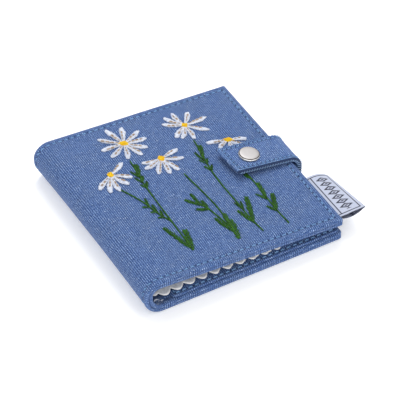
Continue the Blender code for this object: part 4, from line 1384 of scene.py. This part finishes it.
def make_embroidery():
    """Five daisies and five stems with leaves, in single threads on the front cover."""
    for number, (centre, (turn, length, width), petals) in enumerate(DAISIES, 1):
        centre = Vector(centre)
        white, tan, yellow = Threads(), Threads(), Threads()
        for angle, reach in petals:
            satin_petal(white, centre, math.radians(angle), reach)
            petal_vein(tan, centre, math.radians(angle), reach)
        satin_eye(yellow, centre, math.radians(turn), length, width)
        name = "daisy_%d" % number
        satin = white.build(name + "_satin", LOOKS["white"])
        knot = yellow.build(name + "_knot", LOOKS["yellow"])
        veins = tan.build(name + "_veins", LOOKS["tan"])
        fasten(satin, "front_cover", "white_thread", name + "_petals")
        fasten(knot, "front_cover", "yellow_thread", name + "_eye")
        fasten(veins, "front_cover", "white_thread")
    for number, (lines, leaves) in enumerate(STEMS, 1):
        green = Threads()
        for line in lines:
            stem_stitches(green, line)
        for root, tip, width in leaves:
            satin_leaf(green, root, tip, width)
        name = "stem_%d" % number
        fasten(green.build(name + "_stitches", LOOKS["green"]), "front_cover", "green_thread", name)


# ---------------------------------------------------------------- studio

# Each light's name, place in metres, width and power
LIGHTS = [
    ("key", (0.30, 0.60, 0.95), 0.6, 6.5),
    ("fill", (-0.9, -0.7, 0.8), 1.0, 3.2),
    ("front", (0.5, -1.0, 0.6), 0.8, 1.8),
    ("low", (-0.35, -1.2, 0.30), 0.5, 2.0),
]
CAMERA_AZIMUTH = -29.81    # degrees from the tail side, towards the fore-edge
CAMERA_ELEVATION = 42.96
CAMERA_DISTANCE = 1.38655  # metres
CAMERA_AIM = Vector((-0.58, -14.93, 17.19))
CAMERA_LENS = 247.5


def link(name, data):
    """A new object in the scene."""
    made = bpy.data.objects.new(name, data)
    bpy.context.scene.collection.objects.link(made)
    return made


def make_studio():
    """A pale floor, soft light, and the camera."""
    scene = bpy.context.scene
    scene.world = bpy.data.worlds.new("studio")
    scene.world.use_nodes = True
    sky = scene.world.node_tree.nodes["Background"]
    sky.inputs["Color"].default_value = (1.0, 1.0, 1.0, 1.0)
    sky.inputs["Strength"].default_value = 0.80
    scene.view_settings.view_transform = "Standard"
    floor_mesh = bpy.data.meshes.new("floor")
    size = 3.0
    level = -0.05 * MM
    corners = [(-size, -size, level), (size, -size, level), (size, size, level), (-size, size, level)]
    floor_mesh.from_pydata(corners, [], [(0, 1, 2, 3)])
    paper = Nodes("pale_floor", 0.9)
    grain = paper.noise(paper.place(), 0.06)
    paper.colour(paper.ramp(grain, [(0.0, (0.90, 0.90, 0.90)), (1.0, (0.92, 0.92, 0.92))]))
    paper.inputs["Emission Color"].default_value = (1.0, 1.0, 1.0, 1.0)
    paper.inputs["Emission Strength"].default_value = 0.25
    floor_mesh.materials.append(paper.look)
    link("floor", floor_mesh)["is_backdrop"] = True
    for name, spot, width, power in LIGHTS:
        data = bpy.data.lights.new(name, "AREA")
        data.size = width
        data.energy = power
        lamp = link(name, data)
        lamp.location = spot
        lamp.rotation_euler = (-Vector(spot)).to_track_quat("-Z", "Y").to_euler()
    data = bpy.data.cameras.new("camera")
    data.sensor_width = 36.0
    data.lens = CAMERA_LENS
    azimuth, elevation = math.radians(CAMERA_AZIMUTH), math.radians(CAMERA_ELEVATION)
    back = Vector((math.sin(azimuth) * math.cos(elevation), -math.cos(azimuth) * math.cos(elevation),
                   math.sin(elevation)))
    camera = link("camera", data)
    camera.location = CAMERA_AIM * MM + CAMERA_DISTANCE * back
    camera.rotation_euler = back.to_track_quat("Z", "Y").to_euler()
    scene.camera = camera


make_studio()
make_covers()
make_pocket()
make_topstitch()
for body, node, sign in (("leaf_front", "felt_leaf_front", 1.0), ("leaf_back", "felt_leaf_back", -1.0)):
    make_leaf(body, node, sign)
make_felt_fold()
make_gutter_threads()
make_tab()
make_press_stud()
make_label()
make_embroidery()

boxes = {"cad": CAD_BOX, "visual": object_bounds()}
{key: [list(corner) for corner in box] for key, box in boxes.items()}
